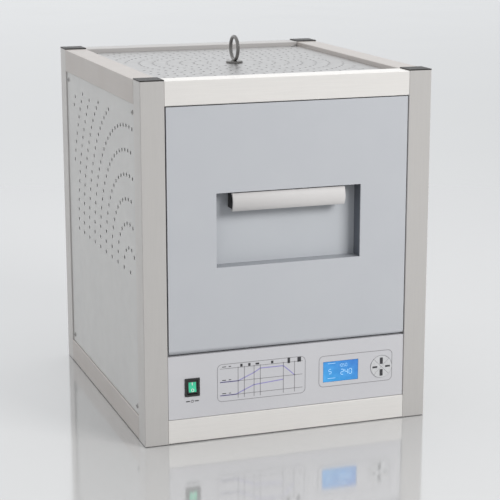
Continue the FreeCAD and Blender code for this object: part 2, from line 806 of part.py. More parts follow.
def build_front_plate():
    """The plate behind the door that closes the gap between the frame and the brickwork."""
    wide = f"({INNER_X} + 12)"
    y = (behind("Dims.lining_front - Dims.sheet"), behind("Dims.lining_front"))
    plate = block("front_sheet", (f"-{wide}", wide), y, ("Dims.deck_top + 0.5", PANEL_HIGH))
    rim = "22"
    mouth_x = (f"-{CHAMBER_X} - {rim}", f"{CHAMBER_X} + {rim}")
    mouth_z = (f"Dims.chamber_low - {rim}", f"Dims.chamber_high + {rim}")
    mouth = block("front_mouth", mouth_x, (behind("0"), behind("80")), mouth_z)
    node(cut("front_plate_cut", plate, [mouth]), "front_plate")
    magnets = [
        rod(f"magnet_{number}", "9", "4.3", x, behind("36.2"), "520", Y_AXIS)
        for number, x in enumerate(("-190", "190"))
    ]
    node(group("magnets", magnets), "catch_magnets")


# ---------------------------------------------------------------- door
DOOR_X = ("-Dims.door_w / 2", "Dims.door_w / 2")
BASE_Y = "Dims.door_deep + Dims.sheet"


def build_door_skin():
    """A folded sheet pan, open at the back, whose lower front fold is centred on the hinge."""
    body = new_body("door_skin")
    centre = ("Dims.pivot_r - Dims.frame_d / 2", PIVOT_Z)

    def fold(radius):
        """A quarter circle's middle point, at this radius from the hinge axis."""
        share = f"{radius} * cos(45 deg)"
        return f"{centre[0]} - {share}", f"{centre[1]} - {share}"

    outside = side_sketch(body, "skin_outside")
    back = behind("Dims.door_deep")
    points = [
        (behind("0"), "Dims.door_high"),
        (behind("0"), PIVOT_Z),
        (centre[0], "Dims.door_low"),
        (back, "Dims.door_low"),
        (back, "Dims.door_high"),
    ]
    outline(outside, points, {1: fold("Dims.pivot_r")})
    pad(body, outside, "Dims.door_w", centred=True)
    inside = side_sketch(body, "skin_inside")
    front = behind("Dims.door_sheet")
    beyond = behind("Dims.door_deep + 5")
    points = [
        (front, "Dims.door_high - Dims.door_sheet"),
        (front, PIVOT_Z),
        (centre[0], "Dims.door_low + Dims.door_sheet"),
        (beyond, "Dims.door_low + Dims.door_sheet"),
        (beyond, "Dims.door_high - Dims.door_sheet"),
    ]
    outline(inside, points, {1: fold("(Dims.pivot_r - Dims.door_sheet)")})
    pocket(body, inside, "Dims.door_w - 2 * Dims.door_sheet")
    opening = front_sketch(body, "skin_opening")
    opening_x = ("-Dims.pocket_w / 2", "Dims.pocket_w / 2")
    rectangle(opening, opening_x, ("Dims.pocket_low", "Dims.pocket_high"))
    pocket(body, opening)
    pins = side_sketch(body, "skin_pins")
    circle(pins, "Dims.bush_r", *centre)
    pocket(body, pins)
    node(body, "door_skin")


def build_handle():
    """A sheet cup behind the door's opening, and a curved grip bar on two arms in it."""
    half, wall = "Dims.pocket_w / 2", "Dims.sheet"
    low, high = "Dims.pocket_low", "Dims.pocket_high"
    start = "Dims.door_sheet"
    deep = f"{start} + Dims.pocket_deep"
    outer = block(
        "cup_outer",
        (f"-({half} + {wall})", f"{half} + {wall}"),
        wall_y(start, f"{deep} + {wall}"),
        (f"{low} - {wall}", f"{high} + {wall}"),
    )
    rim = block(
        "cup_rim",
        (f"-({half} + 8)", f"{half} + 8"),
        wall_y(start, f"{start} + {wall}"),
        (f"{low} - 8", f"{high} + 8"),
    )
    hollow = block("cup_hollow", (f"-{half}", half), wall_y("0", deep), (low, high))
    node(cut("cup", fuse("cup_pressing", [outer, rim]), [hollow]), "handle_recess")
    bar = new_body("grip_bar")
    section = side_sketch(bar, "grip_section")
    low, high, middle = "Dims.bar_low", "Dims.bar_high", mid("Dims.bar_low", "Dims.bar_high")
    lip = "3"
    points = [
        (behind("9"), low),
        (behind("3"), low),
        (behind("3"), high),
        (behind("9"), high),
        (behind("9"), f"{high} - {lip}"),
        (behind("6"), f"{high} - {lip}"),
        (behind("6"), f"{low} + {lip}"),
        (behind("9"), f"{low} + {lip}"),
    ]
    crown = (behind("-Dims.bar_proud"), middle)
    under = (behind("3 - Dims.bar_proud"), middle)
    outline(section, points, {1: crown, 5: under})
    pad(bar, section, "Dims.bar_w", centred=True)
    node(bar, "handle_bar")
    arm_z = (f"{low} + 3.3", f"{high} - 3.3")
    outer, inner = "(Dims.bar_w / 2 - 0.5)", "(Dims.bar_w / 2 - 12)"
    arms = [
        block(f"arm_{number}", x, wall_y("6.2", deep), arm_z)
        for number, x in enumerate(((f"-{outer}", f"-{inner}"), (inner, outer)))
    ]
    node(group("arms", arms), "handle_arms")


def build_door_lining():
    """Insulation inside the pan, the closing plate, the tapered brick and its rope seal."""
    around = "10"
    board = block("door_board", ("-178", "178"), wall_y("4", "33"), ("Dims.door_low + 8.5", "552"))
    clear = block(
        "door_board_clear",
        (f"-(Dims.pocket_w / 2 + {around})", f"Dims.pocket_w / 2 + {around}"),
        wall_y("0", "29"),
        (f"Dims.pocket_low - {around}", f"Dims.pocket_high + {around}"),
    )
    node(cut("door_board_cut", board, [clear]), "door_insulation")
    plate_z = ("Dims.door_low + 13.5", "Dims.door_high - 5.5")
    plate = block("door_plate", ("-203", "203"), wall_y("Dims.door_deep", BASE_Y), plate_z)
    node(plate, "door_liner")
    brick = doc.addObject("Part::Wedge", "door_wedge")
    half = f"{CHAMBER_X} - Dims.plug_gap"
    low, high = "Dims.chamber_low + Dims.plug_gap", "Dims.chamber_high - Dims.plug_gap"
    extents = {
        "Xmin": f"-({half})",
        "Xmax": half,
        "X2min": f"-({half}) + Dims.plug_taper",
        "X2max": f"{half} - Dims.plug_taper",
        "Ymin": behind(BASE_Y),
        "Ymax": behind("Dims.plug_back"),
        "Zmin": low,
        "Zmax": high,
        "Z2min": f"{low} + Dims.plug_taper",
        "Z2max": f"{high} - Dims.plug_taper",
    }
    for name, value in extents.items():
        brick.setExpression(name, value)
    node(brick, "door_brick")
    node(rope_seal(), "door_gasket")


def rope_seal():
    """A round rope in a rounded rectangle, from four straight bars and four quarter rings."""
    bend = "12"
    x = f"({CHAMBER_X} + 9)"
    low, high = "(Dims.chamber_low - 9)", "(Dims.chamber_high + 9)"
    y = behind(f"{BASE_Y} + Dims.rope_r")
    radius = "Dims.rope_r"
    wide, tall = f"2 * {x} - 2 * {bend}", f"{high} - {low} - 2 * {bend}"
    pieces = [
        rod("rope_low", radius, wide, f"-{x} + {bend}", y, low, X_AXIS),
        rod("rope_high", radius, wide, f"-{x} + {bend}", y, high, X_AXIS),
        rod("rope_left", radius, tall, f"-{x}", y, f"{low} + {bend}"),
        rod("rope_right", radius, tall, x, y, f"{low} + {bend}"),
    ]
    corners = ((x, high, 1, -1, 0), (x, low, 1, 1, 90), (x, low, -1, 1, 180), (x, high, -1, -1, 270))
    for number, (side, level, sx, sz, angle) in enumerate(corners):
        ring = doc.addObject("Part::Torus", f"rope_corner_{number}")
        ring.setExpression("Radius1", bend)
        ring.setExpression("Radius2", radius)
        ring.Angle3 = 90
        upright = Rotation(Vector(0, 1, 0), angle) * Rotation(Vector(1, 0, 0), 90)
        place(ring, f"({sx}) * ({side} - {bend})", y, f"{level} + ({sz}) * {bend}", upright)
        pieces.append(ring)
    return fuse("rope", pieces)


def build_hinges():
    """Pins fixed in the posts, and knuckles with bushes in the door's lower corners."""
    y = behind("Dims.pivot_r")
    inner_end, outer_end = "182", "(Dims.door_w / 2 - Dims.door_sheet - 0.2)"
    long = f"{outer_end} - {inner_end}"
    pins, knuckles, bushes = [], [], []
    for side, sign in (("left", -1), ("right", 1)):
        def start(low, length):
            return low if sign > 0 else f"-({low}) - ({length})"

        reach = f"{INNER_X} + Dims.tube_wall - {inner_end} - 2"
        pin_x = start(f"{inner_end} + 2", reach)
        pin = rod(f"pin_{side}", "Dims.pin_r", reach, pin_x, y, PIVOT_Z, X_AXIS)
        head_x = start(f"{INNER_X} + Dims.tube_wall", "3")
        head = rod(f"pin_head_{side}", "Dims.pin_r + 2.3", "3", head_x, y, PIVOT_Z, X_AXIS)
        pins.append(fuse(f"hinge_pin_{side}", [pin, head]))
        at = start(inner_end, long)
        barrel = rod(f"barrel_{side}", "Dims.pivot_r - 2.2", long, at, y, PIVOT_Z, X_AXIS)
        leaf_y = wall_y("2.2", "5.2")
        leaf = block(f"leaf_{side}", (at, f"{at} + {long}"), leaf_y, (PIVOT_Z, f"{PIVOT_Z} + 40"))
        bore = rod(f"barrel_bore_{side}", "Dims.bush_r", long, at, y, PIVOT_Z, X_AXIS)
        knuckles.append(cut(f"knuckle_{side}", fuse(f"knuckle_solid_{side}", [barrel, leaf]), [bore]))
        sleeve = rod(f"sleeve_{side}", "Dims.bush_r", long, at, y, PIVOT_Z, X_AXIS)
        running = "Dims.pin_r + Dims.pin_fit"
        sleeve_bore = rod(f"sleeve_bore_{side}", running, long, at, y, PIVOT_Z, X_AXIS)
        bushes.append(cut(f"bush_{side}", sleeve, [sleeve_bore]))
    node(group("pins", pins), "hinge_pins")
    node(group("knuckles", knuckles), "hinge_barrels")
    node(group("bushes", bushes), "hinge_bushes")


# ---------------------------------------------------------------- controls
FACE = "Dims.fascia_set"
KEY_TURNS = {"right": 0, "up": 90, "left": 180, "down": 270}


def build_fascia():
    """The control panel: a folded plate with openings for the switch, display and keys."""
    x = (f"-{PANEL_X}", PANEL_X)
    back = f"{FACE} + Dims.sheet"
    low, high = "Dims.fascia_low", "Dims.fascia_high"
    plate = block("fascia_plate", x, wall_y(FACE, back), (low, high))
    flange_y = wall_y(FACE, "16")
    lower = block("fascia_lower", x, flange_y, (low, f"{low} + Dims.sheet"))
    upper = block("fascia_upper", x, flange_y, (f"{high} - Dims.sheet", high))
    through = wall_y("-1", "12")
    switch = block(
        "switch_cutout",
        ("Dims.switch_x - 10.7", "Dims.switch_x + 10.7"),
        through,
        ("Dims.switch_z - 13.4", "Dims.switch_z + 13.4"),
    )
    window = block(
        "window_cutout",
        ("Dims.window_x - Dims.window_w / 2", "Dims.window_x + Dims.window_w / 2"),
        through,
        ("Dims.window_z - Dims.window_tall / 2", "Dims.window_z + Dims.window_tall / 2"),
    )
    keys = rod("keys_cutout", "Dims.keys_r", "14", "Dims.keys_x", behind("-1"), "Dims.keys_z", Y_AXIS)
    folded = fuse("fascia_folded", [plate, lower, upper])
    node(cut("fascia_cut", folded, [switch, window, keys]), "fascia")


def centred(prefix, width, tall):
    """The x and z ranges of a rectangle about one of the fascia's openings."""
    x = (f"Dims.{prefix}_x - ({width}) / 2", f"Dims.{prefix}_x + ({width}) / 2")
    z = (f"Dims.{prefix}_z - ({tall}) / 2", f"Dims.{prefix}_z + ({tall}) / 2")
    return x, z


def build_display():
    """The clear window, the display behind it and the board that carries it and the key contacts."""
    x, z = centred("window", "Dims.window_w - 0.4", "Dims.window_tall - 0.4")
    pane = block("window_pane", x, wall_y(f"{FACE} + 0.2", "3.2"), z)
    x, z = centred("window", "Dims.window_w + 8", "Dims.window_tall + 8")
    rim = block("window_rim", x, wall_y("3.2", "4.2"), z)
    node(fuse("window", [pane, rim]), "display_window")
    x, z = centred("window", "76", "48")
    node(block("module", x, wall_y("4.4", "14"), z), "display_module")
    board = block("board", ("52", "196"), wall_y("20", "21.6"), ("62", "122"))
    contacts = []
    for name, angle in KEY_TURNS.items():
        across = f"Dims.keys_x + ({round(math.cos(math.radians(angle)))}) * 12"
        level = f"Dims.keys_z + ({round(math.sin(math.radians(angle)))}) * 12"
        contact_x = (f"{across} - 3", f"{across} + 3")
        contact_z = (f"{level} - 3", f"{level} + 3")
        contacts.append(block(f"contact_{name}", contact_x, wall_y("8.3", "20"), contact_z))
    node(fuse("board_assembly", [board] + contacts), "control_board")


def build_keys():
    """Four quarter-round keys, each pressing inwards, with a rim behind the fascia."""
    quarter = Rotation(Vector(1, 0, 0), 90) * Rotation(Vector(0, 0, 1), -45)
    for name, angle in KEY_TURNS.items():
        turn = Rotation(Vector(0, 1, 0), -angle) * quarter
        shift_x = f"({math.cos(math.radians(angle)):.3f}) * Dims.key_split"
        shift_z = f"({math.sin(math.radians(angle)):.3f}) * Dims.key_split"
        pies = []
        for part, radius, start, end in (
            ("face", "Dims.keys_r - 0.9", "0.7", "7.2"),
            ("rim", "Dims.keys_r + 1.2", "3.4", "5"),
        ):
            pie = rod(
                f"key_{name}_{part}",
                radius,
                f"{end} - {start}",
                f"Dims.keys_x + {shift_x}",
                behind(end),
                f"Dims.keys_z + {shift_z}",
                turn,
            )
            pie.Angle = 90
            pies.append(pie)
        node(fuse(f"key_{name}_joined", pies), f"key_{name}")


def build_switch():
    """A rocker switch: housing with bezel, blades and bearing holes, and the rocker itself."""
    x, z = centred("switch", "Dims.switch_w", "Dims.switch_tall")
    bezel = block("switch_bezel", x, wall_y("0", FACE), z)
    x, z = centred("switch", "21", "26.4")
    shell = block("switch_shell", x, wall_y(FACE, "24"), z)
    x, z = centred("switch", "17.5", "23.6")
    well = block("switch_well", x, wall_y("-1", "13"), z)
    pivot_y, pivot_z = behind("4.4"), "Dims.switch_z"
    bearing = rod("switch_bearing", "1.56", "19.6", "Dims.switch_x - 9.8", pivot_y, pivot_z, X_AXIS)
    blades = [
        block(
            f"blade_{number}",
            (f"Dims.switch_x + ({dx}) - 0.4", f"Dims.switch_x + ({dx}) + 0.4"),
            wall_y("23", "32"),
            (f"Dims.switch_z + ({dz}) - 3.1", f"Dims.switch_z + ({dz}) + 3.1"),
        )
        for number, (dx, dz) in enumerate((dx, dz) for dx in (-5, 5) for dz in (-7, 7))
    ]
    housing = cut("switch_body", fuse("switch_solid", [bezel, shell]), [well, bearing])
    node(fuse("switch_assembly", [housing] + blades), "switch_housing")
    rocker = new_body("rocker_body")
    section = side_sketch(rocker, "rocker_section")
    points = [(-4.4, -10.4), (-3.4, 0), (-4.4, 10.4), (-1, 10.4), (3.5, 5), (3.5, -5), (-1, -10.4)]
    outline(section, [(str(y), str(z)) for y, z in points])
    pad(rocker, section, "16.5", centred=True)
    tilt = Rotation(Vector(1, 0, 0), -8)
    place(rocker, "Dims.switch_x", pivot_y, pivot_z, tilt)
    trunnion = rod("rocker_trunnion", "1.5", "19", "Dims.switch_x - 9.5", pivot_y, pivot_z, X_AXIS)
    node(fuse("rocker", [rocker, trunnion]), "power_rocker")


# ---------------------------------------------------------------- electronics bay
def build_electronics():
    """Relays on a finned heat sink, the supply terminals and the cable gland at the back."""
    floor = "Dims.base_lift + Dims.sheet"
    plate = block("sink_plate", ("-180", "-70"), wall_y("330", "430"), (f"{floor} + 32", f"{floor} + 40"))
    fins = [
        block(f"sink_fin_{number}", (x, f"{x} + 2.4"), wall_y("330", "430"), (floor, f"{floor} + 32"))
        for number, x in enumerate(f"-180 + {number} * 10.76" for number in range(11))
    ]
    node(fuse("sink", [plate] + fins), "relay_heatsink")
    relay_z = (f"{floor} + 40", f"{floor} + 66")
    relays = [
        block(f"relay_{number}", (x, f"{x} + 45"), wall_y("350", "408"), relay_z)
        for number, x in enumerate(("-173", "-122"))
    ]
    node(group("relays", relays), "power_relays")
    strip = block("strip_body", ("110", "190"), wall_y("470", "496"), (floor, f"{floor} + 26"))
    wells = [
        rod(f"strip_well_{number}", "4", "6", f"120 + {number} * 20", behind("483"), f"{floor} + 20")
        for number in range(4)
    ]
    node(cut("strip", strip, wells), "terminal_block")
    gland = new_body("gland_body")
    half = plane_sketch(gland, "XY_Plane", "gland_half")
    inner, panel = "Dims.gland_bore_r", f"({HALF_D} - Dims.panel_inset)"
    inside, nose = f"({panel} - Dims.sheet)", f"({panel} + Dims.gland_out)"
    points = [
        (inner, f"{inside} - 10"),
        ("8", f"{inside} - 10"),
        ("8", f"{inside} - 6"),
        ("12.5", f"{inside} - 6"),
        ("12.5", inside),
        ("8", inside),
        ("8", panel),
        ("12.5", panel),
        ("12.5", f"{panel} + 4"),
        ("11", f"{panel} + 5"),
        ("11", f"{nose} - 4"),
        ("7.5", nose),
        (inner, nose),
    ]
    outline(half, points, {10: ("10", f"{nose} - 1.2")})
    turned = gland.newObject("PartDesign::Revolution", "gland_turned")
    turned.Profile = half
    turned.ReferenceAxis = (half, ["V_Axis"])
    turned.Angle = 360
    node(place(gland, "Dims.gland_x", "0", "Dims.gland_z"), "cable_gland")


# ---------------------------------------------------------------- vent plug
def build_vent_plug():
    """A pull ring forged on a round flange, with the ceramic stopper that hangs under it."""
    seat = f"({TOP_PLATE} + 0.3)"
    flange = rod("eye_flange", "Dims.flange_r", "3.7", "0", "0", seat)
    neck = rod("eye_neck", "4.5", "4", "0", "0", f"{seat} + 3.7")
    ring = doc.addObject("Part::Torus", "eye_ring")
    ring.setExpression("Radius1", "Dims.eye_r")
    ring.setExpression("Radius2", "Dims.eye_wire_r")
    centre = f"{seat} + 5.5 + Dims.eye_r"
    place(ring, "0", "0", centre, Rotation(Vector(0, 1, 0), 90))
    node(fuse("eye", [flange, neck, ring]), "vent_eye")
    bottom = "Dims.chamber_high + 2"
    node(rod("stopper", "Dims.stopper_r", f"{seat} - ({bottom})", "0", "0", bottom), "vent_stopper")


# ---------------------------------------------------------------- build, check and write
build_posts()
build_rails()
build_end_plugs()
build_rail_end_blocks()
build_panels()
build_panel_fixings()
build_deck()
build_insulation()
build_bricks()
build_elements()
build_chamber_fittings()
build_front_plate()
build_door_skin()
build_handle()
build_door_lining()
build_hinges()
build_fascia()
build_display()
build_keys()
build_switch()
build_electronics()
build_vent_plug()
doc.recompute()

failed = [thing.Label for thing in doc.Objects if {"Invalid", "Error"} & set(thing.State)]
assert not failed, f"these objects failed: {failed}"
assert len({piece.Label for piece in LABELS}) == len(LABELS), "two sub-parts share a label"
for piece in LABELS:
    assert not piece.Shape.isNull() and piece.Shape.isValid(), f"{piece.Label} has no valid shape"
    assert piece.Shape.Solids, f"{piece.Label} holds no solid"
for piece in LABELS:
    piece.Shape.exportStep(f"parts/{piece.Label}.step")
print(len(LABELS), "sub-parts,", sum(len(piece.Shape.Solids) for piece in LABELS), "solids")
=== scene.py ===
import json
import math

import bmesh
import bpy
from mathutils import Matrix, Vector


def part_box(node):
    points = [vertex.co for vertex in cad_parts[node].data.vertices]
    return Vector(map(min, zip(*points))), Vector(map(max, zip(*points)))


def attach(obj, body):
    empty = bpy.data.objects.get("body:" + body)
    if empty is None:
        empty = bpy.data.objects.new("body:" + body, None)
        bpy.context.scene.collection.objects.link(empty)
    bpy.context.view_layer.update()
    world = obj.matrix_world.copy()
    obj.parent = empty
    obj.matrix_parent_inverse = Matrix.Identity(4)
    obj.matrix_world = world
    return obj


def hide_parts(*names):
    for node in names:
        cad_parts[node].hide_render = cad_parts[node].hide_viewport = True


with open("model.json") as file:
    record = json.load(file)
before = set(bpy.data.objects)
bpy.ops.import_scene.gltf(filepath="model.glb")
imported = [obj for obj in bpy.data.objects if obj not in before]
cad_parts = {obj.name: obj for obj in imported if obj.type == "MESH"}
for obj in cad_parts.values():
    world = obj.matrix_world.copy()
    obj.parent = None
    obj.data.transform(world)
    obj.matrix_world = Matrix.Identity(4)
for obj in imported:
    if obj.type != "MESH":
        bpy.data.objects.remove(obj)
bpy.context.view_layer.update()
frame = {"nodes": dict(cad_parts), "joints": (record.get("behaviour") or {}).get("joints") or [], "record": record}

# The looks of a front-loading pottery kiln.  Metres, +Z up, the front face towards -Y.
MM = 0.001
NODES = frame["nodes"]
JOINTS = {joint["name"]: joint for joint in frame["joints"]}


# ---------------------------------------------------------------- materials
class Look:
    """A procedural material: one principled shader, fed by nodes in the object's own metres."""

    def __init__(self, name, colour, metallic=0.0, roughness=0.5, **sockets):
        self.material = bpy.data.materials.new(name)
        self.material.use_nodes = True
        self.tree = self.material.node_tree
        self.shader = self.tree.nodes["Principled BSDF"]
        self.colour = colour
        self.set("Base Color", (*colour, 1))
        self.set("Metallic", metallic)
        self.set("Roughness", roughness)
        for socket, value in sockets.items():
            self.set(socket.replace("_", " "), value)
        self.normal = None
        self.place = self.add("ShaderNodeTexCoord").outputs["Object"]

    def set(self, socket, value):
        self.shader.inputs[socket].default_value = value

    def add(self, kind, inputs=None, **settings):
        node = self.tree.nodes.new(kind)
        for name, value in settings.items():
            setattr(node, name, value)
        for name, value in (inputs or {}).items():
            if isinstance(value, bpy.types.NodeSocket):
                self.tree.links.new(value, node.inputs[name])
            else:
                node.inputs[name].default_value = value
        return node

    def stretched(self, stretch):
        """The object's coordinates, scaled on each axis, so that a texture runs along one of them."""
        return self.add("ShaderNodeMapping", {"Vector": self.place, "Scale": stretch}).outputs[0]

    def noise(self, cell, stretch=(1, 1, 1), detail=3.0, rough=0.55):
        """Soft noise with features about one cell across, in metres."""
        inputs = {"Vector": self.stretched(stretch), "Scale": 1 / cell}
        inputs |= {"Detail": detail, "Roughness": rough}
        return self.add("ShaderNodeTexNoise", inputs).outputs[0]

    def cells(self, cell, stretch=(1, 1, 1)):
        """The distance to the nearest of scattered points about one cell apart."""
        inputs = {"Vector": self.stretched(stretch), "Scale": 1 / cell}
        return self.add("ShaderNodeTexVoronoi", inputs).outputs["Distance"]

    def ramp(self, value, low, high, out_low=0.0, out_high=1.0):
        inputs = {"Value": value, "From Min": low, "From Max": high, "To Min": out_low, "To Max": out_high}
        return self.add("ShaderNodeMapRange", inputs).outputs[0]

    def tint(self, mask, colour):
        """Mix another colour over the present one where the mask is 1."""
        socket = self.shader.inputs["Base Color"]
        mix = self.add("ShaderNodeMix", data_type="RGBA")
        self.tree.links.new(mask, mix.inputs[0])
        if socket.links:
            self.tree.links.new(socket.links[0].from_socket, mix.inputs[6])
        else:
            mix.inputs[6].default_value = (*self.colour, 1)
        mix.inputs[7].default_value = (*colour, 1)
        self.tree.links.new(mix.outputs[2], socket)
        return self

    def rough(self, mask, low, high):
        self.tree.links.new(self.ramp(mask, 0.3, 0.7, low, high), self.shader.inputs["Roughness"])
        return self

    def bump(self, height, depth, strength=1.0):
        """Raise the surface by the height, where 1 is depth metres."""
        inputs = {"Height": height, "Distance": depth, "Strength": strength}
        if self.normal is not None:
            inputs["Normal"] = self.normal
        self.normal = self.add("ShaderNodeBump", inputs).outputs[0]
        self.tree.links.new(self.normal, self.shader.inputs["Normal"])
        return self


ALONG = {"x": (0.02, 1, 1), "y": (1, 0.02, 1), "z": (1, 1, 0.02)}
# The tones are painted light: the front rails are painted lighter and the side rails, back rails and posts darker,
# as lit and shaded copies of one anodised finish.
EXTRUSIONS = {
    "rail_front": ("x", (0.84, 0.82, 0.795)),
    "rail_side": ("y", (0.52, 0.485, 0.46)),
    "rail_back": ("x", (0.50, 0.485, 0.475)),
    "post": ("z", (0.57, 0.555, 0.54)),
}


def anodised(kind):
    """Extruded aluminium with die lines along its length; each kind of bar gets its own tone, which is painted
    light: lit and shaded copies of one finish.
    """
    axis, tone = EXTRUSIONS[kind]
    look = Look(f"anodised_{kind}", tone, metallic=0.35, roughness=0.44, Coat_Weight=0.12)
    lines = look.noise(1.1 * MM, ALONG[axis], detail=4)
    clouds = look.noise(60 * MM)
    look.tint(look.ramp(lines, 0.35, 0.75, 0.0, 0.35), tuple(0.88 * c for c in tone))
    look.tint(look.ramp(clouds, 0.4, 0.8, 0.0, 0.3), tuple(1.07 * c for c in tone))
    look.rough(clouds, 0.40, 0.50)
    return look.bump(lines, 0.02 * MM).bump(look.noise(0.35 * MM), 0.006 * MM)


def powder_coat(name, colour, shade, roughness=0.36):
    """Baked paint on sheet metal: fine orange peel, and a slow change of tone."""
    look = Look(name, colour, roughness=roughness, Coat_Weight=0.25, Coat_Roughness=0.22)
    peel = look.noise(1.6 * MM, detail=2)
    clouds = look.noise(90 * MM, detail=2)
    look.tint(look.ramp(clouds, 0.35, 0.75, 0.0, 0.5), shade)
    look.tint(look.ramp(look.noise(0.5 * MM), 0.62, 0.7, 0.0, 0.16), tuple(0.8 * c for c in colour))
    look.rough(look.noise(25 * MM), roughness - 0.04, roughness + 0.06)
    return look.bump(peel, 0.02 * MM, 0.5).bump(look.noise(0.3 * MM), 0.004 * MM)


def cup_paint_with_painted_shade():
    """The door's paint with painted shade on the handle cup: faces that point sideways are darkened to near black,
    and faces that point up or down to a dark grey.
    """
    look = powder_coat("cup_paint_with_painted_shade", (0.47, 0.49, 0.52), (0.50, 0.52, 0.55))
    facing = look.add("ShaderNodeTexCoord").outputs["Normal"]
    parts = look.add("ShaderNodeSeparateXYZ", {"Vector": facing})
    sideways_shade_mask = look.add("ShaderNodeMath", {0: parts.outputs["X"]}, operation="ABSOLUTE").outputs[0]
    upwards = look.add("ShaderNodeMath", {0: parts.outputs["Z"]}, operation="ABSOLUTE").outputs[0]
    # painted shade on the cup's top and bottom walls
    look.tint(look.ramp(upwards, 0.4, 0.9, 0.0, 0.6), (0.16, 0.17, 0.19))
    # painted shade on the cup's side walls
    return look.tint(look.ramp(sideways_shade_mask, 0.4, 0.9, 0.0, 0.85), (0.07, 0.08, 0.11))


def brushed_steel(name, colour, axis, roughness=0.25, shade=0.8):
    """Steel with fine brush lines along one axis."""
    look = Look(name, colour, metallic=0.95, roughness=roughness)
    lines = look.noise(0.7 * MM, ALONG[axis], detail=5)
    look.tint(look.ramp(lines, 0.3, 0.8, 0.0, 0.5), tuple(shade * c for c in colour))
    look.rough(look.noise(18 * MM), roughness - 0.05, roughness + 0.09)
    return look.bump(lines, 0.012 * MM)


def satin_grip():
    """The pale, bead-blasted aluminium of the handle's grip."""
    look = Look("satin_grip", (0.66, 0.645, 0.64), metallic=0.25, roughness=0.5)
    lines = look.noise(0.9 * MM, ALONG["x"], detail=4)
    look.tint(look.ramp(lines, 0.3, 0.8, 0.0, 0.4), (0.61, 0.60, 0.60))
    look.rough(look.noise(12 * MM), 0.44, 0.56)
    return look.bump(look.noise(0.3 * MM), 0.006 * MM)


def galvanised():
    """Zinc-coated sheet, with its spangle."""
    look = Look("galvanised", (0.56, 0.57, 0.58), metallic=0.85, roughness=0.42)
    flakes = look.cells(9 * MM)
    look.tint(look.ramp(flakes, 0.2, 0.7), (0.42, 0.44, 0.46))
    look.rough(flakes, 0.32, 0.55)
    return look.bump(look.noise(3 * MM), 0.02 * MM)


def moulded(name, colour, roughness=0.42, grain=0.5, **sockets):
    """Injection-moulded plastic with a fine spark-eroded grain."""
    look = Look(name, colour, roughness=roughness, **sockets)
    look.tint(look.ramp(look.noise(8 * MM), 0.4, 0.8, 0.0, 0.4), tuple(0.75 * c for c in colour))
    look.rough(look.noise(3 * MM), roughness - 0.05, roughness + 0.08)
    return look.bump(look.noise(grain * MM, detail=2), 0.01 * MM)


def firebrick():
    """Insulating brick: pale, open-pored and speckled."""
    look = Look("firebrick", (0.80, 0.71, 0.56), roughness=0.95)
    pores = look.ramp(look.cells(2.2 * MM), 0.0, 0.32)
    coarse = look.ramp(look.cells(9 * MM), 0.0, 0.16)
    look.tint(look.ramp(look.noise(30 * MM), 0.35, 0.75, 0.0, 0.6), (0.86, 0.80, 0.68))
    look.tint(look.ramp(pores, 0.0, 0.5, 0.45, 0.0), (0.50, 0.40, 0.28))
    look.tint(look.ramp(coarse, 0.0, 0.6, 0.4, 0.0), (0.45, 0.34, 0.22))
    look.tint(look.ramp(look.noise(1.2 * MM), 0.66, 0.72, 0.0, 0.6), (0.55, 0.30, 0.14))
    return look.bump(pores, 0.5 * MM, 0.6).bump(coarse, 0.8 * MM, 0.5).bump(look.noise(6 * MM), 0.4 * MM, 0.4)


def fibre_board():
    look = Look("fibre_board", (0.86, 0.84, 0.79), roughness=0.96, Sheen_Weight=0.3)
    fibres = look.noise(2.5 * MM, (1, 0.15, 0.6), detail=6, rough=0.7)
    look.tint(look.ramp(fibres, 0.35, 0.7, 0.0, 0.5), (0.70, 0.66, 0.58))
    return look.bump(fibres, 0.4 * MM, 0.7)


def cordierite():
    """A fired kiln shelf: sandy, with dark iron specks."""
    look = Look("cordierite", (0.70, 0.61, 0.48), roughness=0.85)
    look.tint(look.ramp(look.noise(1 * MM), 0.62, 0.7), (0.30, 0.20, 0.13))
    look.tint(look.ramp(look.noise(40 * MM), 0.4, 0.8, 0.0, 0.5), (0.82, 0.76, 0.64))
    look.rough(look.noise(10 * MM), 0.75, 0.95)
    return look.bump(look.noise(0.9 * MM), 0.15 * MM)


def braid():
    look = Look("braid", (0.82, 0.80, 0.75), roughness=0.92, Sheen_Weight=0.5)
    fibres = look.noise(0.6 * MM, detail=6, rough=0.7)
    look.tint(look.ramp(fibres, 0.4, 0.75, 0.0, 0.7), (0.58, 0.54, 0.48))
    look.tint(look.ramp(look.noise(40 * MM), 0.5, 0.8, 0.0, 0.35), (0.55, 0.47, 0.36))
    return look.bump(fibres, 0.15 * MM)


def element_wire():
    """Resistance wire under its grey oxide skin."""
    look = Look("element_wire", (0.17, 0.165, 0.16), metallic=0.7, roughness=0.55)
    look.tint(look.ramp(look.noise(12 * MM), 0.4, 0.7, 0.0, 0.7), (0.30, 0.27, 0.24))
    look.rough(look.noise(2 * MM), 0.45, 0.7)
    return look.bump(look.noise(0.5 * MM), 0.03 * MM)


def display_glow():
    """A backlit blue display that is palest at its lower left."""
    look = Look("display_glow", (0.03, 0.27, 0.60), roughness=0.16, Coat_Weight=0.6, Coat_Roughness=0.05)
    low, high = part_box("display_window")
    across = look.add("ShaderNodeSeparateXYZ", {"Vector": look.place})
    rightwards = look.ramp(across.outputs["X"], low.x, high.x)
    upwards = look.ramp(across.outputs["Z"], low.z, high.z)
    both = look.add("ShaderNodeMath", {0: rightwards, 1: upwards}, operation="ADD").outputs[0]
    look.tint(look.ramp(both, 0.4, 1.7), (0.025, 0.16, 0.50))
    look.tint(look.ramp(look.noise(14 * MM, detail=1), 0.4, 0.8, 0.0, 0.35), (0.10, 0.42, 0.85))
    colour = look.shader.inputs["Base Color"].links[0].from_socket
    look.tree.links.new(colour, look.shader.inputs["Emission Color"])
    look.set("Emission Strength", 0.24)
    return look.bump(look.noise(0.5 * MM), 0.002 * MM)


# how far the green reaches from the rocker's middle, as shares of its half width and half height
GREEN_SHARES = (("X", 0.64), ("Z", 0.74))


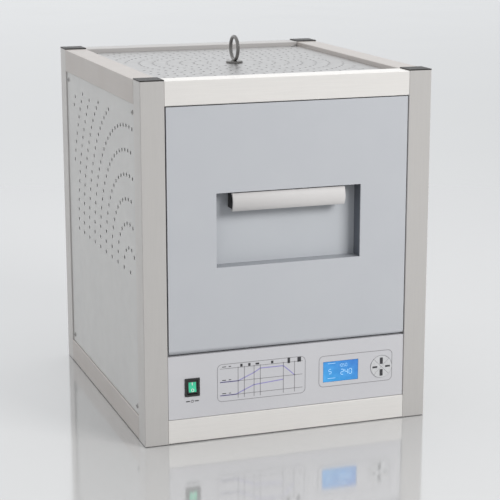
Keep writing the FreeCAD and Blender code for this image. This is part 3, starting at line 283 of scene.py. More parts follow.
def rocker_lens():
    """A lit green lens in the middle of a black rocker."""
    look = moulded("rocker_lens", (0.03, 0.42, 0.24), 0.16, Coat_Weight=0.8, Coat_Roughness=0.06)
    low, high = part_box("power_rocker")
    parts = look.add("ShaderNodeSeparateXYZ", {"Vector": look.place})
    for axis, edge in GREEN_SHARES:
        index = "XYZ".index(axis)
        middle, half = (low[index] + high[index]) / 2, (high[index] - low[index]) / 2
        offset = {0: parts.outputs[axis], 1: middle}
        away = look.add("ShaderNodeMath", offset, operation="SUBTRACT").outputs[0]
        away = look.add("ShaderNodeMath", {0: away}, operation="ABSOLUTE").outputs[0]
        look.tint(look.ramp(away, edge * half, (edge + 0.06) * half), (0.012, 0.012, 0.012))
    colour = look.shader.inputs["Base Color"].links[0].from_socket
    look.tree.links.new(colour, look.shader.inputs["Emission Color"])
    look.set("Emission Strength", 0.35)
    return look


def printed(name, colour, **sockets):
    """Screen-printed ink, a little uneven."""
    look = Look(name, colour, roughness=0.55, **sockets)
    look.tint(look.ramp(look.noise(1.5 * MM), 0.4, 0.8, 0.0, 0.4), tuple(1.35 * c for c in colour))
    return look.bump(look.noise(0.4 * MM), 0.004 * MM)


def circuit_board():
    look = Look("circuit_board", (0.02, 0.16, 0.08), roughness=0.35, Coat_Weight=0.5)
    tracks = look.add("ShaderNodeTexBrick", {"Vector": look.place, "Scale": 220.0}).outputs["Fac"]
    look.tint(look.ramp(tracks, 0.0, 1.0, 0.0, 0.4), (0.05, 0.30, 0.14))
    return look.bump(tracks, 0.03 * MM)


def table_top():
    """A glossy pale table, for the stage only."""
    look = Look("table_top", (0.66, 0.66, 0.66), metallic=0.5, roughness=0.07, IOR=1.9)
    look.rough(look.noise(0.6, detail=2), 0.06, 0.10)
    return look.tint(look.ramp(look.noise(0.9, detail=1), 0.3, 0.8, 0.0, 0.4), (0.69, 0.69, 0.69))


LOOKS = {
    "door_paint": powder_coat("door_paint", (0.465, 0.48, 0.51), (0.49, 0.505, 0.53)),
    "panel_paint": powder_coat("panel_paint", (0.53, 0.53, 0.525), (0.58, 0.58, 0.57), 0.42),
    "fascia_paint": powder_coat("fascia_paint", (0.545, 0.545, 0.57), (0.58, 0.58, 0.60)),
    "bright_steel": brushed_steel("bright_steel", (0.66, 0.65, 0.645), "x", 0.36, 0.88),
    "polished_steel": brushed_steel("polished_steel", (0.30, 0.29, 0.28), "z", 0.26),
    "galvanised_steel": galvanised(),
    "screw_steel": brushed_steel("screw_steel", (0.46, 0.45, 0.44), "x", 0.32),
    "black_plastic": moulded("black_plastic", (0.022, 0.02, 0.019), 0.45),
    "cast_block": brushed_steel("cast_block", (0.5, 0.5, 0.5), "y", 0.55),
    "fibre_board": fibre_board(),
    "firebrick": firebrick(),
    "coil_wire": element_wire(),
    "terminal_brass": brushed_steel("terminal_brass", (0.72, 0.53, 0.25), "x", 0.3),
    "probe_ceramic": moulded("probe_ceramic", (0.86, 0.83, 0.76), 0.5),
    "cordierite": cordierite(),
    "magnet_nickel": brushed_steel("magnet_nickel", (0.62, 0.61, 0.59), "z", 0.2),
    "grip_aluminium": satin_grip(),
    "rope": braid(),
    "bush_bronze": brushed_steel("bush_bronze", (0.60, 0.40, 0.20), "x", 0.35),
    "window_clear": display_glow(),
    "display_black": moulded("display_black", (0.02, 0.05, 0.10), 0.3),
    "board_green": circuit_board(),
    "key_plastic": moulded("key_plastic", (0.58, 0.585, 0.60), 0.4),
    "switch_black": moulded("switch_black", (0.014, 0.014, 0.014), 0.22, 1.5, Coat_Weight=0.4),
    "rocker_green": rocker_lens(),
    "sink_aluminium": brushed_steel("sink_aluminium", (0.42, 0.42, 0.43), "y", 0.5),
    "terminal_white": moulded("terminal_white", (0.78, 0.77, 0.72), 0.55),
}
METALS = {kind: anodised(kind) for kind in EXTRUSIONS}
CUP_PAINT_WITH_PAINTED_SHADE = cup_paint_with_painted_shade()
INK = printed("ink_dark", (0.045, 0.045, 0.05))
INK_GREY = printed("ink_grey", (0.24, 0.235, 0.25))
INK_VIOLET = printed("ink_violet", (0.30, 0.28, 0.52))
INK_WHITE = printed("ink_white", (0.72, 0.72, 0.70))
DIGITS = printed("digits", (0.30, 0.55, 0.78), Emission_Color=(0.40, 0.66, 0.95, 1), Emission_Strength=0.25)


# ---------------------------------------------------------------- the frame's own parts
# Which painted lit or shaded tone of the anodised finish each bar gets; anodised parts not listed get the front
# rails' lighter painted tone.
EXTRUDED = {
    "post_front_left": "post",
    "post_front_right": "post",
    "post_back_left": "post",
    "post_back_right": "post",
    "rails_side": "rail_side",
    "rails_back": "rail_back",
}
SOFT_EDGES = {
    "post_caps": 0.6,
    "foot_plugs": 0.3,
    "door_skin": 0.6,
    "handle_recess": 0.5,
    "handle_bar": 0.5,
    "handle_arms": 0.8,
    "door_liner": 0.4,
    "door_brick": 1.6,
    "hearth_shelf": 1.5,
    "fascia": 0.3,
    "switch_housing": 0.5,
    "power_rocker": 0.6,
    "key_up": 0.12,
    "key_down": 0.12,
    "key_left": 0.12,
    "key_right": 0.12,
    "front_plate": 0.3,
    "catch_magnets": 0.4,
    "terminal_block": 1.0,
    "power_relays": 1.0,
    "relay_heatsink": 0.3,
    "deck_frame": 0.8,
    "hinge_barrels": 0.4,
    "thermocouple": 0.6,
    "element_terminals": 0.5,
    "brick_floor": 1.0,
    "brick_back": 1.0,
    "insulation_boards": 1.0,
    "rail_top_front": 0.4,
    "rail_bottom_front": 0.4,
}


def soften(part, width):
    """Round a CAD part's sharp edges with modifiers; its own mesh stays as it is."""
    weld = part.modifiers.new("weld", "WELD")
    weld.merge_threshold = 0.001 * MM
    flat = part.modifiers.new("flat", "DECIMATE")
    flat.decimate_type = "DISSOLVE"
    flat.angle_limit = math.radians(0.5)
    rounding = part.modifiers.new("rounding", "BEVEL")
    rounding.width = width
    rounding.segments = 2
    rounding.limit_method = "ANGLE"
    rounding.angle_limit = math.radians(35)
    rounding.harden_normals = True
    rounding.use_clamp_overlap = True


def dress_frame():
    """Give every CAD part the material of its slot, and round the edges that show."""
    for part in frame["record"]["subparts"]:
        name, wanted = part["node"], part["material_slot"]
        anodised_part = wanted == "anodised_aluminium"
        # anodised parts take the painted lit or shaded tone of their kind of bar, the front rails' lighter one by
        # default
        look = METALS[EXTRUDED.get(name, "rail_front")] if anodised_part else LOOKS[wanted]
        # the handle cup gets the door paint with painted shade on its walls
        look = CUP_PAINT_WITH_PAINTED_SHADE if name == "handle_recess" else look
        NODES[name].data.materials.clear()
        NODES[name].data.materials.append(look.material)
    for name, width in SOFT_EDGES.items():
        soften(NODES[name], width * MM)


# ---------------------------------------------------------------- ways of making pieces
def piece(name, mesh, look, body, smooth=None):
    """A shown piece that rides on a body; smooth is the angle in degrees below which it is shaded round."""
    made = bpy.data.objects.new(name, mesh)
    bpy.context.scene.collection.objects.link(made)
    mesh.materials.append(look.material)
    if smooth is not None:
        mesh.shade_smooth()
        mesh.set_sharp_from_angle(angle=math.radians(smooth))
    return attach(made, body)


def meshed(name, bm):
    """The mesh of a finished bmesh, with its faces outwards."""
    bmesh.ops.remove_doubles(bm, verts=bm.verts, dist=0.0005 * MM)
    bmesh.ops.recalc_face_normals(bm, faces=bm.faces)
    mesh = bpy.data.meshes.new(name)
    bm.to_mesh(mesh)
    bm.free()
    return mesh


def lathe(bm, profile, matrix, sides=32, shape=None):
    """Turn (radius, height) points about +Z; shape changes the radius by angle, height and radius."""
    rings = []
    for radius, height in profile:
        if radius == 0:
            rings.append([bm.verts.new(matrix @ Vector((0, 0, height)))])
            continue
        ring = []
        for side in range(sides):
            angle = math.tau * side / sides
            reach = shape(angle, height, radius) if shape else radius
            point = Vector((reach * math.cos(angle), reach * math.sin(angle), height))
            ring.append(bm.verts.new(matrix @ point))
        rings.append(ring)
    for lower, upper in zip(rings, rings[1:]):
        for side in range(sides):
            following = (side + 1) % sides
            corners = [lower[side % len(lower)], lower[following % len(lower)]]
            corners += [upper[following % len(upper)], upper[side % len(upper)]]
            bm.faces.new(dict.fromkeys(corners))


def sweep(bm, path, radius, sides, closed=False):
    """A round bar of equal radius along a path of points."""
    rings = []
    normal = None
    count = len(path)
    for number, point in enumerate(path):
        before = path[number - 1] if number or closed else point
        after = path[(number + 1) % count] if number < count - 1 or closed else point
        tangent = (after - before).normalized()
        if normal is None:
            normal = tangent.orthogonal().normalized()
        normal = (normal - tangent * normal.dot(tangent)).normalized()
        binormal = tangent.cross(normal)
        ring = []
        for side in range(sides):
            angle = math.tau * side / sides
            offset = normal * math.cos(angle) + binormal * math.sin(angle)
            ring.append(bm.verts.new(point + offset * radius))
        rings.append(ring)
    pairs = zip(rings, rings[1:] + rings[:1]) if closed else zip(rings, rings[1:])
    for lower, upper in pairs:
        for side in range(sides):
            following = (side + 1) % sides
            bm.faces.new((lower[side], lower[following], upper[following], upper[side]))
    if not closed:
        bm.faces.new(rings[0])
        bm.faces.new(reversed(rings[-1]))


def rounded_outline(low, high, radius, steps=8):
    """Points round a rectangle in the XZ plane, with quarter circles at its corners."""
    corners = ((high[0], high[1], 0), (low[0], high[1], 90), (low[0], low[1], 180), (high[0], low[1], 270))
    points = []
    for x, z, start in corners:
        centre_x = x - radius if x == high[0] else x + radius
        centre_z = z - radius if z == high[1] else z + radius
        for step in range(steps + 1):
            angle = math.radians(start + 90 * step / steps)
            points.append((centre_x + radius * math.cos(angle), centre_z + radius * math.sin(angle)))
    return points


def stroke(bm, points, width, front, back, closed=False):
    """A thin raised line of even width through points in the XZ plane, from y front to y back."""
    count = len(points)
    spots = [Vector(point) for point in points]
    sides = []
    for number, spot in enumerate(spots):
        before = spots[number - 1] if number or closed else None
        after = spots[(number + 1) % count] if number < count - 1 or closed else None
        ways = [(spot - before).normalized()] if before else []
        ways += [(after - spot).normalized()] if after else []
        along = sum(ways, Vector((0, 0))).normalized()
        across = Vector((-along.y, along.x))
        mitre = max(0.5, across.dot(Vector((-ways[0].y, ways[0].x))))
        offset = across * width / 2 / mitre
        ring = [(spot + offset, front), (spot - offset, front), (spot - offset, back), (spot + offset, back)]
        sides.append([bm.verts.new((at.x, y, at.y)) for at, y in ring])
    pairs = zip(sides, sides[1:] + sides[:1]) if closed else zip(sides, sides[1:])
    for near, far in pairs:
        for corner in range(4):
            following = (corner + 1) % 4
            bm.faces.new((near[corner], near[following], far[following], far[corner]))
    if not closed:
        bm.faces.new(sides[0])
        bm.faces.new(reversed(sides[-1]))


def plate(bm, outline, front, back, chamfer=0.0):
    """A flat plate with an outline in the XZ plane, its front edges chamfered."""
    middle = sum((Vector(point) for point in outline), Vector((0, 0))) / len(outline)
    levels = [(back, 0.0), (front, 0.0)]
    if chamfer:
        levels = [(back, 0.0), (front + chamfer, 0.0), (front, chamfer)]
    rings = []
    for y, inset in levels:
        ring = []
        for point in outline:
            spot = Vector(point)
            spot -= (spot - middle).normalized() * inset
            ring.append(bm.verts.new((spot.x, y, spot.y)))
        rings.append(ring)
    for lower, upper in zip(rings, rings[1:]):
        for side in range(len(outline)):
            following = (side + 1) % len(outline)
            bm.faces.new((lower[side], lower[following], upper[following], upper[side]))
    bm.faces.new(rings[0])
    bm.faces.new(rings[-1])


def bar_mark(bm, x, z, wide, tall, front, back, corner=0.4 * MM):
    outline = rounded_outline((x - wide / 2, z - tall / 2), (x + wide / 2, z + tall / 2), corner, 3)
    plate(bm, outline, front, back)


# ---------------------------------------------------------------- pieces
SCREW_INSET = 13.4 * MM


def screw_places():
    """Where each panel screw's head sits: its seat, and the way that it points."""
    places = []
    for name, axis, sign in (
        ("side_panel_left", 0, -1),
        ("side_panel_right", 0, 1),
        ("back_panel", 1, 1),
        ("top_panel", 2, 1),
        ("base_panel", 2, -1),
    ):
        low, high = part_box(name)
        across = [number for number in range(3) if number != axis]
        for first in (low[across[0]] + SCREW_INSET, high[across[0]] - SCREW_INSET):
            for second in (low[across[1]] + SCREW_INSET, high[across[1]] - SCREW_INSET):
                seat = Vector()
                seat[axis] = high[axis] if sign > 0 else low[axis]
                seat[across[0]] = first
                seat[across[1]] = second
                outwards = Vector()
                outwards[axis] = sign
                turn = outwards.to_track_quat("Z", "Y").to_matrix().to_4x4()
                places.append(Matrix.Translation(seat) @ turn)
    return places


def hexagon(angle, _height, radius):
    """The reach of a hexagon with this distance across its corners."""
    return radius * math.cos(math.pi / 6) / math.cos(angle % (math.pi / 3) - math.pi / 6)


def make_screws():
    """Button-head screws with hexagon sockets."""
    bm = bmesh.new()
    socket = 1.6 * MM

    def shape(angle, height, radius):
        return hexagon(angle, height, radius) if radius == socket else radius

    shank = [(0, -8), (2, -8), (2, 0)]
    head = [(4, 0), (4, 0.7), (3.75, 1.3), (3.2, 1.8), (2.6, 2.1), (2.1, 2.2)]
    profile = [(r * MM, z * MM) for r, z in shank + head]
    profile += [(socket, 2.15 * MM), (socket, 0.9 * MM), (0, 0.7 * MM)]
    for matrix in screw_places():
        lathe(bm, profile, matrix, 24, shape)
    mesh = meshed("screws", bm)
    made = piece("panel_screws_socket_head", mesh, LOOKS["screw_steel"], "kiln", 40)
    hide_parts("panel_screws")


def make_vent_eye():
    """The pull ring: a smooth ring that grows out of a turned neck on a round flange."""
    low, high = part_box("vent_eye")
    seat = low.z
    flange = (high.x - low.x) / 2
    wire = 3.1 * MM
    ring_reach = (high.y - low.y) / 2 - wire
    middle = Vector((0, 0, high.z - wire - ring_reach))
    bm = bmesh.new()
    circle = [
        middle + Vector((0, ring_reach * math.cos(angle), ring_reach * math.sin(angle)))
        for angle in (math.tau * step / 72 for step in range(72))
    ]
    sweep(bm, circle, wire, 20, closed=True)
    rise = middle.z - ring_reach - seat
    profile = [(0, 0), (flange - 0.5 * MM, 0), (flange, 0.5 * MM)]
    profile += [(flange, 2.4 * MM), (flange - 0.9 * MM, 3.3 * MM)]
    profile += [(8 * MM, 3.7 * MM), (5.6 * MM, 3.9 * MM), (4.2 * MM, 4.8 * MM), (3.4 * MM, rise - 0.4 * MM)]
    profile += [(2.6 * MM, rise + 1.2 * MM), (0, rise + 1.6 * MM)]
    lathe(bm, profile, Matrix.Translation((0, 0, seat)), 48)
    mesh = meshed("ring", bm)
    made = piece("vent_pull_ring", mesh, LOOKS["polished_steel"], "vent_plug", 40)
    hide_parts("vent_eye")


COIL_RUNS = 6


def serpentine(side):
    """The centre line of one wall's coil, as points about a millimetre apart, from the lowest run up."""
    low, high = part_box(f"heating_element_{side}")
    coil = (high.x - low.x) / 2
    x = (low.x + high.x) / 2
    step = (high.z - low.z - 2 * coil) / (COIL_RUNS - 1)
    bend = step / 2
    front = low.y + coil + bend
    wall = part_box("brick_back")[0].y
    back = wall - 12 * MM - bend
    points = []
    spacing = 1 * MM
    for run in range(COIL_RUNS):
        z = low.z + coil + run * step
        forwards = run % 2 == 0
        start, end = (back, front) if forwards else (front, back)
        count = round(abs(end - start) / spacing)
        points += [Vector((x, start + (end - start) * i / count, z)) for i in range(count)]
        if run == COIL_RUNS - 1:
            break
        turns = round(math.pi * bend / spacing)
        for i in range(turns):
            angle = math.pi * i / turns
            reach = bend * math.sin(angle) * (-1 if forwards else 1)
            points.append(Vector((x, end + reach, z + bend - bend * math.cos(angle))))
    return points, high.y, coil


def make_element(side):
    """A wound heating coil, with straight tails through the back wall."""
    centre_line, tail_end, reach = serpentine(side)
    wire = 0.8 * MM
    pitch = 4.6 * MM
    across = Vector((1, 0, 0))
    travelled = 0.0
    path = []
    tail_start = centre_line[0].copy()
    for spot in (0.0, 0.25, 0.5, 0.75):
        path.append(Vector((tail_start.x, tail_end + (tail_start.y - tail_end) * spot, tail_start.z)))
    for number in range(len(centre_line) - 1):
        here, there = centre_line[number], centre_line[number + 1]
        tangent = (there - here).normalized()
        upwards = tangent.cross(across)
        length = (there - here).length
        for part in range(2):
            angle = math.tau * (travelled + length * part / 2) / pitch
            grow = min(1.0, min(number, len(centre_line) - 2 - number) / 8)
            offset = across * math.cos(angle) + upwards * math.sin(angle)
            path.append(here.lerp(there, part / 2) + offset * (reach - wire) * grow)
        travelled += length
    last = centre_line[-1]
    for spot in (0.25, 0.5, 0.75, 1.0):
        path.append(Vector((last.x, last.y + (tail_end - last.y) * spot, last.z)))
    bm = bmesh.new()
    sweep(bm, path, wire, 6)
    name = f"heating_coil_{side}"
    made = piece(name, meshed(name, bm), LOOKS["coil_wire"], "kiln", 80)
    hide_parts(f"heating_element_{side}")


def make_gasket():
    """A rope seal of four laid strands, in a rounded rectangle."""
    low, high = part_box("door_gasket")
    thick = (high.y - low.y) / 2
    y = (low.y + high.y) / 2
    strand = 0.56 * thick
    inset = (low.x + thick, low.z + thick), (high.x - thick, high.z - thick)
    corners = rounded_outline(*inset, 12 * MM, 12)
    loop = [Vector((x, y, z)) for x, z in corners]
    lengths = [(loop[(i + 1) % len(loop)] - loop[i]).length for i in range(len(loop))]
    total = sum(lengths)
    lay = total / round(total / (15 * MM))
    bm = bmesh.new()
    for number in range(4):
        path = []
        travelled = 0.0
        for i, start in enumerate(loop):
            end = loop[(i + 1) % len(loop)]
            tangent = (end - start).normalized()
            inwards = tangent.cross(Vector((0, 1, 0)))
            steps = max(1, round(lengths[i] / (1.2 * MM)))
            for step in range(steps):
                angle = math.tau * ((travelled + lengths[i] * step / steps) / lay + number / 4)
                offset = inwards * math.cos(angle) + Vector((0, math.sin(angle), 0))
                path.append(start.lerp(end, step / steps) + offset * (thick - strand))
            travelled += lengths[i]
        sweep(bm, path, strand, 7, closed=True)
    made = piece("rope_seal", meshed("rope", bm), LOOKS["rope"], "door", 80)
    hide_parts("door_gasket")


def make_gland():
    """A plastic cable gland: locknut inside, collar, and a ribbed dome nut outside."""
    low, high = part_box("cable_gland")
    centre = (low + high) / 2
    panel_low, panel_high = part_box("back_panel")
    inner = panel_low.y - low.y
    outer = high.y - panel_low.y
    collar = (high.x - low.x) / 2
    bore = 4.5 * MM
    thread = 8 * MM
    sheet = panel_high.y - panel_low.y
    nut_end = -inner + 4 * MM

    def shape(angle, height, radius):
        if radius > 11.5 * MM and height < 0:
            return hexagon(angle, height, radius)
        if 9 * MM < radius < 11.5 * MM and height > 0:
            return radius - 0.45 * MM * (1 + math.cos(18 * angle))
        return radius

    profile = [(bore, -inner), (thread, -inner), (thread, nut_end)]
    profile += [(collar, nut_end), (collar, 0), (thread, 0)]
    profile += [(thread, sheet), (collar, sheet), (collar, sheet + 3.5 * MM), (11.4 * MM, sheet + 4 * MM)]
    profile += [(11.4 * MM, outer - 4.5 * MM), (10.4 * MM, outer - 2 * MM), (8.4 * MM, outer - 0.4 * MM)]
    profile += [(7 * MM, outer), (5.2 * MM, outer), (bore, outer - 0.8 * MM), (bore, -inner)]
    bm = bmesh.new()
    seat = Matrix.Translation((centre.x, panel_low.y, centre.z)) @ Matrix.Rotation(-math.pi / 2, 4, "X")
    lathe(bm, profile, seat, 108, shape)
    mesh = meshed("gland", bm)
    made = piece("cable_gland_ribbed", mesh, LOOKS["black_plastic"], "kiln", 30)
    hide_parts("cable_gland")


RIVET = [(0, -1), (1.2, -1), (1.2, 0), (2.6, 0), (2.4, 0.6), (1.6, 1.05), (0.7, 1.2), (0, 1.2)]


def make_liner_rivets():
    """Dome rivets that hold the door's closing plate to the pan."""
    low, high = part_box("door_liner")
    edge = 9 * MM
    wide = [low.x + edge + (high.x - low.x - 2 * edge) * i / 4 for i in range(5)]
    tall = [low.z + edge + (high.z - low.z - 2 * edge) * i / 4 for i in range(5)]
    spots = {(x, z) for x in wide for z in (tall[0], tall[-1])}
    spots |= {(x, z) for x in (wide[0], wide[-1]) for z in tall}
    profile = [(r * MM, z * MM) for r, z in RIVET]
    bm = bmesh.new()
    for x, z in sorted(spots):
        seat = Matrix.Translation((x, high.y, z)) @ Matrix.Rotation(-math.pi / 2, 4, "X")
        lathe(bm, profile, seat, 20)
    piece("door_liner_rivets", meshed("rivets", bm), LOOKS["screw_steel"], "door", 40)


# ---------------------------------------------------------------- marks on the fascia
PROUD = 0.12 * MM
SUNK = 0.05 * MM
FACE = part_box("fascia")[0].y
CHART_LOW = (-125 * MM, 64.5 * MM)
CHART_HIGH = (30 * MM, 128.5 * MM)
CHART_COLUMNS = (0.232, 0.303, 0.413, 0.484, 0.748, 0.877)
CHART_ROWS = (0.16, 0.52, 0.88)
UPPER_CURVE = ((0.03, 0.52), (0.232, 0.52), (0.413, 0.70), (0.484, 0.80), (0.748, 0.80), (0.877, 0.52))
LOWER_CURVE = ((0.03, 0.16), (0.206, 0.16), (0.413, 0.37), (0.748, 0.43))
KEYPAD_LOW = (55 * MM, 70.5 * MM)
KEYPAD_HIGH = (189 * MM, 124.5 * MM)


def on_chart(point):
    return tuple(low + (high - low) * share for low, high, share in zip(CHART_LOW, CHART_HIGH, point))


def fascia_strokes(bm, lines, width, closed=False):
    for line in lines:
        stroke(bm, line, width, FACE - PROUD, FACE + SUNK, closed)


def make_print():
    """The firing chart, and outlines round the chart and the keypad."""
    outlines = bmesh.new()
    fascia_strokes(outlines, [rounded_outline(CHART_LOW, CHART_HIGH, 8 * MM)], 0.9 * MM, closed=True)
    fascia_strokes(outlines, [rounded_outline(KEYPAD_LOW, KEYPAD_HIGH, 8 * MM)], 1.0 * MM, closed=True)
    rows = [[on_chart((0.03, level)), on_chart((0.97, level))] for level in CHART_ROWS]
    fascia_strokes(outlines, rows, 0.9 * MM)
    columns = [[on_chart((share, 0.06)), on_chart((share, 0.90))] for share in CHART_COLUMNS]
    fascia_strokes(outlines, columns, 1.1 * MM)
    piece("fascia_print_lines", meshed("lines", outlines), INK_GREY, "kiln")
    curves = bmesh.new()
    fascia_strokes(curves, [[on_chart(point) for point in UPPER_CURVE]], 1.8 * MM)
    fascia_strokes(curves, [[on_chart(point) for point in LOWER_CURVE]], 1.8 * MM)
    piece("fascia_print_curves", meshed("curves", curves), INK_VIOLET, "kiln")
    marks = bmesh.new()
    front, back = FACE - PROUD, FACE + SUNK
    for share, wide, tall in (
        (0.27, 4.0, 5.0),
        (0.36, 4.0, 5.0),
        (0.45, 6.4, 3.2),
        (0.62, 4.0, 4.6),
        (0.81, 4.6, 9.6),
        (0.93, 6.4, 8.4),
    ):
        x, z = on_chart((share, 0.93))
        bar_mark(marks, x, z, wide * MM, tall * MM, front, back)
    for level in CHART_ROWS:
        for share, wide in ((0.075, 7.0), (0.14, 4.0)):
            x, z = on_chart((share, level + 0.05))
            bar_mark(marks, x, z, wide * MM, 1.3 * MM, front, back)
    piece("fascia_print_marks", meshed("marks", marks), INK, "kiln")


def make_power_mark():
    """A plain on-off sign between two dashes, under the switch."""
    low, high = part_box("switch_housing")
    x = (low.x + high.x) / 2
    z = low.z - 8.5 * MM
    front, back = FACE - PROUD, FACE + SUNK
    bm = bmesh.new()
    reach = 2.1 * MM
    arc = [
        (x + reach * math.sin(angle), z + reach * math.cos(angle))
        for angle in (math.radians(35 + 290 * step / 24) for step in range(25))
    ]
    stroke(bm, arc, 0.8 * MM, front, back)
    stroke(bm, [(x, z + 0.4 * MM), (x, z + 2.6 * MM)], 0.8 * MM, front, back)
    for side in (-1, 1):
        bar_mark(bm, x + side * 7.5 * MM, z, 7 * MM, 1.8 * MM, front, back)
    piece("switch_mark", meshed("power", bm), INK, "kiln")


def make_rocker_marks():
    """A bar on the upper half of the rocker and a ring on the lower half."""
    pivot = Vector(JOINTS["rocker_tilt"]["pos_m"])
    rest_tilt = math.radians(-8)
    turned = Matrix.Translation(pivot) @ Matrix.Rotation(rest_tilt, 4, "X")
    slope = math.atan2(1.0, 10.4)
    half = 5.3 * MM
    depth = -3.92 * MM
    proud = 0.12 * MM
    upper, lower = bmesh.new(), bmesh.new()
    bar_mark(upper, 0, 0, 1.3 * MM, 5 * MM, -proud, SUNK)
    ring = [
        (2.2 * MM * math.cos(angle), 2.2 * MM * math.sin(angle))
        for angle in (math.tau * step / 28 for step in range(28))
    ]
    stroke(lower, ring, 0.8 * MM, -proud, SUNK, closed=True)
    for bm, side in ((upper, 1), (lower, -1)):
        lean = Matrix.Rotation(side * slope, 4, "X")
        bm.transform(turned @ Matrix.Translation((0, depth, side * half)) @ lean)
    for bm, name in ((upper, "rocker_mark_on"), (lower, "rocker_mark_off")):
        piece(name, meshed(name, bm), INK_WHITE, "rocker")


def make_key_marks():
    """Bars on the up and down keys, and dashes on the left and right ones."""
    boxes = [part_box(f"key_{way}") for way in ("left", "right", "up", "down")]
    x = (boxes[0][0].x + boxes[1][1].x) / 2
    z = (boxes[2][1].z + boxes[3][0].z) / 2
    front = min(low.y for low, _ in boxes)
    shapes = {
        "up": (0, 10.4, 5.6, 11.5),
        "down": (0, -10.4, 5.6, 11.5),
        "left": (-11.8, 0, 9.0, 3.2),
        "right": (11.8, 0, 9.0, 3.2),
    }
    for way, (dx, dz, wide, tall) in shapes.items():
        bm = bmesh.new()
        bar_mark(bm, x + dx * MM, z + dz * MM, wide * MM, tall * MM, front - PROUD, front + SUNK, 0.6 * MM)
        piece(f"key_{way}_mark", meshed(f"mark_{way}", bm), INK, f"key_{way}_body")


SEGMENTS = {
    "0": "abcdef",
    "1": "bc",
    "2": "abged",
    "4": "fgbc",
    "5": "afgcd",
}
SEGMENT_ENDS = {
    "a": ((0.12, 1), (0.88, 1)),
    "b": ((1, 0.94), (1, 0.54)),
    "c": ((1, 0.46), (1, 0.06)),
    "d": ((0.12, 0), (0.88, 0)),
    "e": ((0, 0.46), (0, 0.06)),
    "f": ((0, 0.94), (0, 0.54)),
    "g": ((0.12, 0.5), (0.88, 0.5)),
}


def seven_segment(bm, text, low, tall, front, back):
    """Digits of lit segments, starting at a lower left corner."""
    wide = 0.55 * tall
    for place, digit in enumerate(text):
        left = low[0] + place * 1.5 * wide
        for segment in SEGMENTS[digit]:
            line = [(left + u * wide, low[1] + v * tall) for u, v in SEGMENT_ENDS[segment]]
            stroke(bm, line, 0.13 * tall, front, back)


def make_display():
    """The backlit screen, and generic readings on it."""
    low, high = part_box("display_window")
    rim = 4.4 * MM
    left, right, bottom, top = low.x + rim, high.x - rim, low.z + rim, high.z - rim
    bm = bmesh.new()
    plate(bm, rounded_outline((left, bottom), (right, top), 1.0 * MM, 4), low.y, high.y - 0.2 * MM, 0.2 * MM)
    screen = piece("display_screen", meshed("screen", bm), LOOKS["window_clear"], "kiln")
    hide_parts("display_window")
    front, back = low.y - 0.03 * MM, low.y + SUNK
    bm = bmesh.new()
    seven_segment(bm, "240", (left + 32 * MM, bottom + 11 * MM), 9 * MM, front, back)
    seven_segment(bm, "1050", (left + 28 * MM, bottom + 25 * MM), 5 * MM, front, back)
    seven_segment(bm, "5", (left + 10 * MM, bottom + 14 * MM), 8 * MM, front, back)
    for level in (6, 32):
        z = bottom + level * MM
        stroke(bm, [(left + 8 * MM, z), (left + 22 * MM, z)], 0.9 * MM, front, back)
    piece("display_digits", meshed("digits", bm), DIGITS, "kiln")


# ---------------------------------------------------------------- stage, light and camera
def make_stage():
    bm = bmesh.new()
    bmesh.ops.create_grid(bm, x_segments=1, y_segments=1, size=40)
    floor = bpy.data.objects.new("table", meshed("table", bm))
    bpy.context.scene.collection.objects.link(floor)
    floor.data.materials.append(table_top().material)


# name, place, size, watts, colour
LAMPS = (
    ("key", (1.9, -3.0, 2.2), (1.8, 1.4), 116, (1, 0.985, 0.965)),
    ("top", (0.2, 0.3, 3.0), (2.6, 2.6), 38, (1, 1, 1)),
    ("left", (-3.0, 0.7, 1.3), (1.6, 1.6), 20, (1, 0.97, 0.94)),
)
LAMP_AIM = (0, 0, 0.32)
SKY_COLOUR = (0.81, 0.825, 0.84, 1)
SKY_IN_FRONT = 0.66
SKY_BEHIND = 1.14
CAMERA_PLACE = (-0.895, -2.652, 0.902)
YAW, PITCH, ROLL = (math.radians(angle) for angle in (-19.21, 13.07, -0.04))
LENS = 114
SENSOR = 36


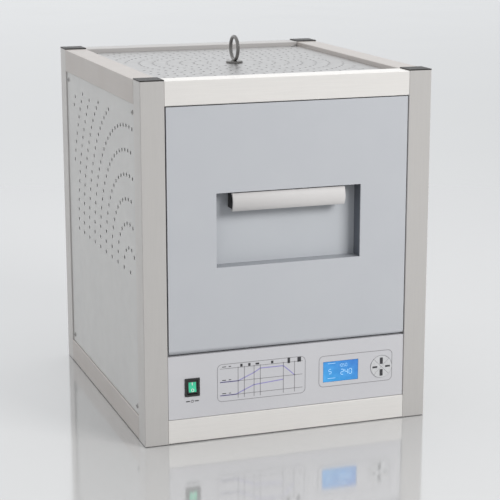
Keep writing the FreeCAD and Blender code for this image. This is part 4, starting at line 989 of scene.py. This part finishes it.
def area_light(name, place, size, power, colour):
    """A soft lamp that lights surfaces but is not mirrored in the table or the metal."""
    light = bpy.data.lights.new(name, "AREA")
    light.shape = "RECTANGLE"
    light.size, light.size_y = size
    light.energy = power
    light.color = colour
    lamp = bpy.data.objects.new(name, light)
    bpy.context.scene.collection.objects.link(lamp)
    lamp.location = place
    lamp.visible_glossy = False
    lamp.rotation_euler = (Vector(LAMP_AIM) - Vector(place)).to_track_quat("-Z", "Y").to_euler()


def make_light():
    """The lamps, under a plain sky that is brighter behind the kiln than in front of it."""
    scene = bpy.context.scene
    scene.view_settings.view_transform = "Standard"
    world = bpy.data.worlds.new("studio")
    world.use_nodes = True
    scene.world = world
    background = world.node_tree.nodes["Background"]
    background.inputs["Color"].default_value = SKY_COLOUR
    way = world.node_tree.nodes.new("ShaderNodeTexCoord")
    parts = world.node_tree.nodes.new("ShaderNodeSeparateXYZ")
    rise = world.node_tree.nodes.new("ShaderNodeMapRange")
    rise.inputs["To Min"].default_value = SKY_IN_FRONT
    rise.inputs["To Max"].default_value = SKY_BEHIND
    world.node_tree.links.new(way.outputs["Generated"], parts.inputs[0])
    world.node_tree.links.new(parts.outputs["Y"], rise.inputs["Value"])
    world.node_tree.links.new(rise.outputs[0], background.inputs["Strength"])
    for lamp in LAMPS:
        area_light(*lamp)


def make_camera():
    data = bpy.data.cameras.new("camera")
    data.lens = LENS
    data.sensor_width = SENSOR
    camera = bpy.data.objects.new("camera", data)
    bpy.context.scene.collection.objects.link(camera)
    turn = Matrix.Rotation(YAW, 4, "Z") @ Matrix.Rotation(math.pi / 2 - PITCH, 4, "X")
    turn = turn @ Matrix.Rotation(ROLL, 4, "Z")
    camera.matrix_world = Matrix.Translation(CAMERA_PLACE) @ turn
    bpy.context.scene.camera = camera


dress_frame()
make_screws()
make_vent_eye()
for wall in ("left", "right"):
    make_element(wall)
make_gasket()
make_gland()
make_liner_rivets()
make_print()
make_power_mark()
make_rocker_marks()
make_key_marks()
make_display()
make_stage()
make_light()
make_camera()
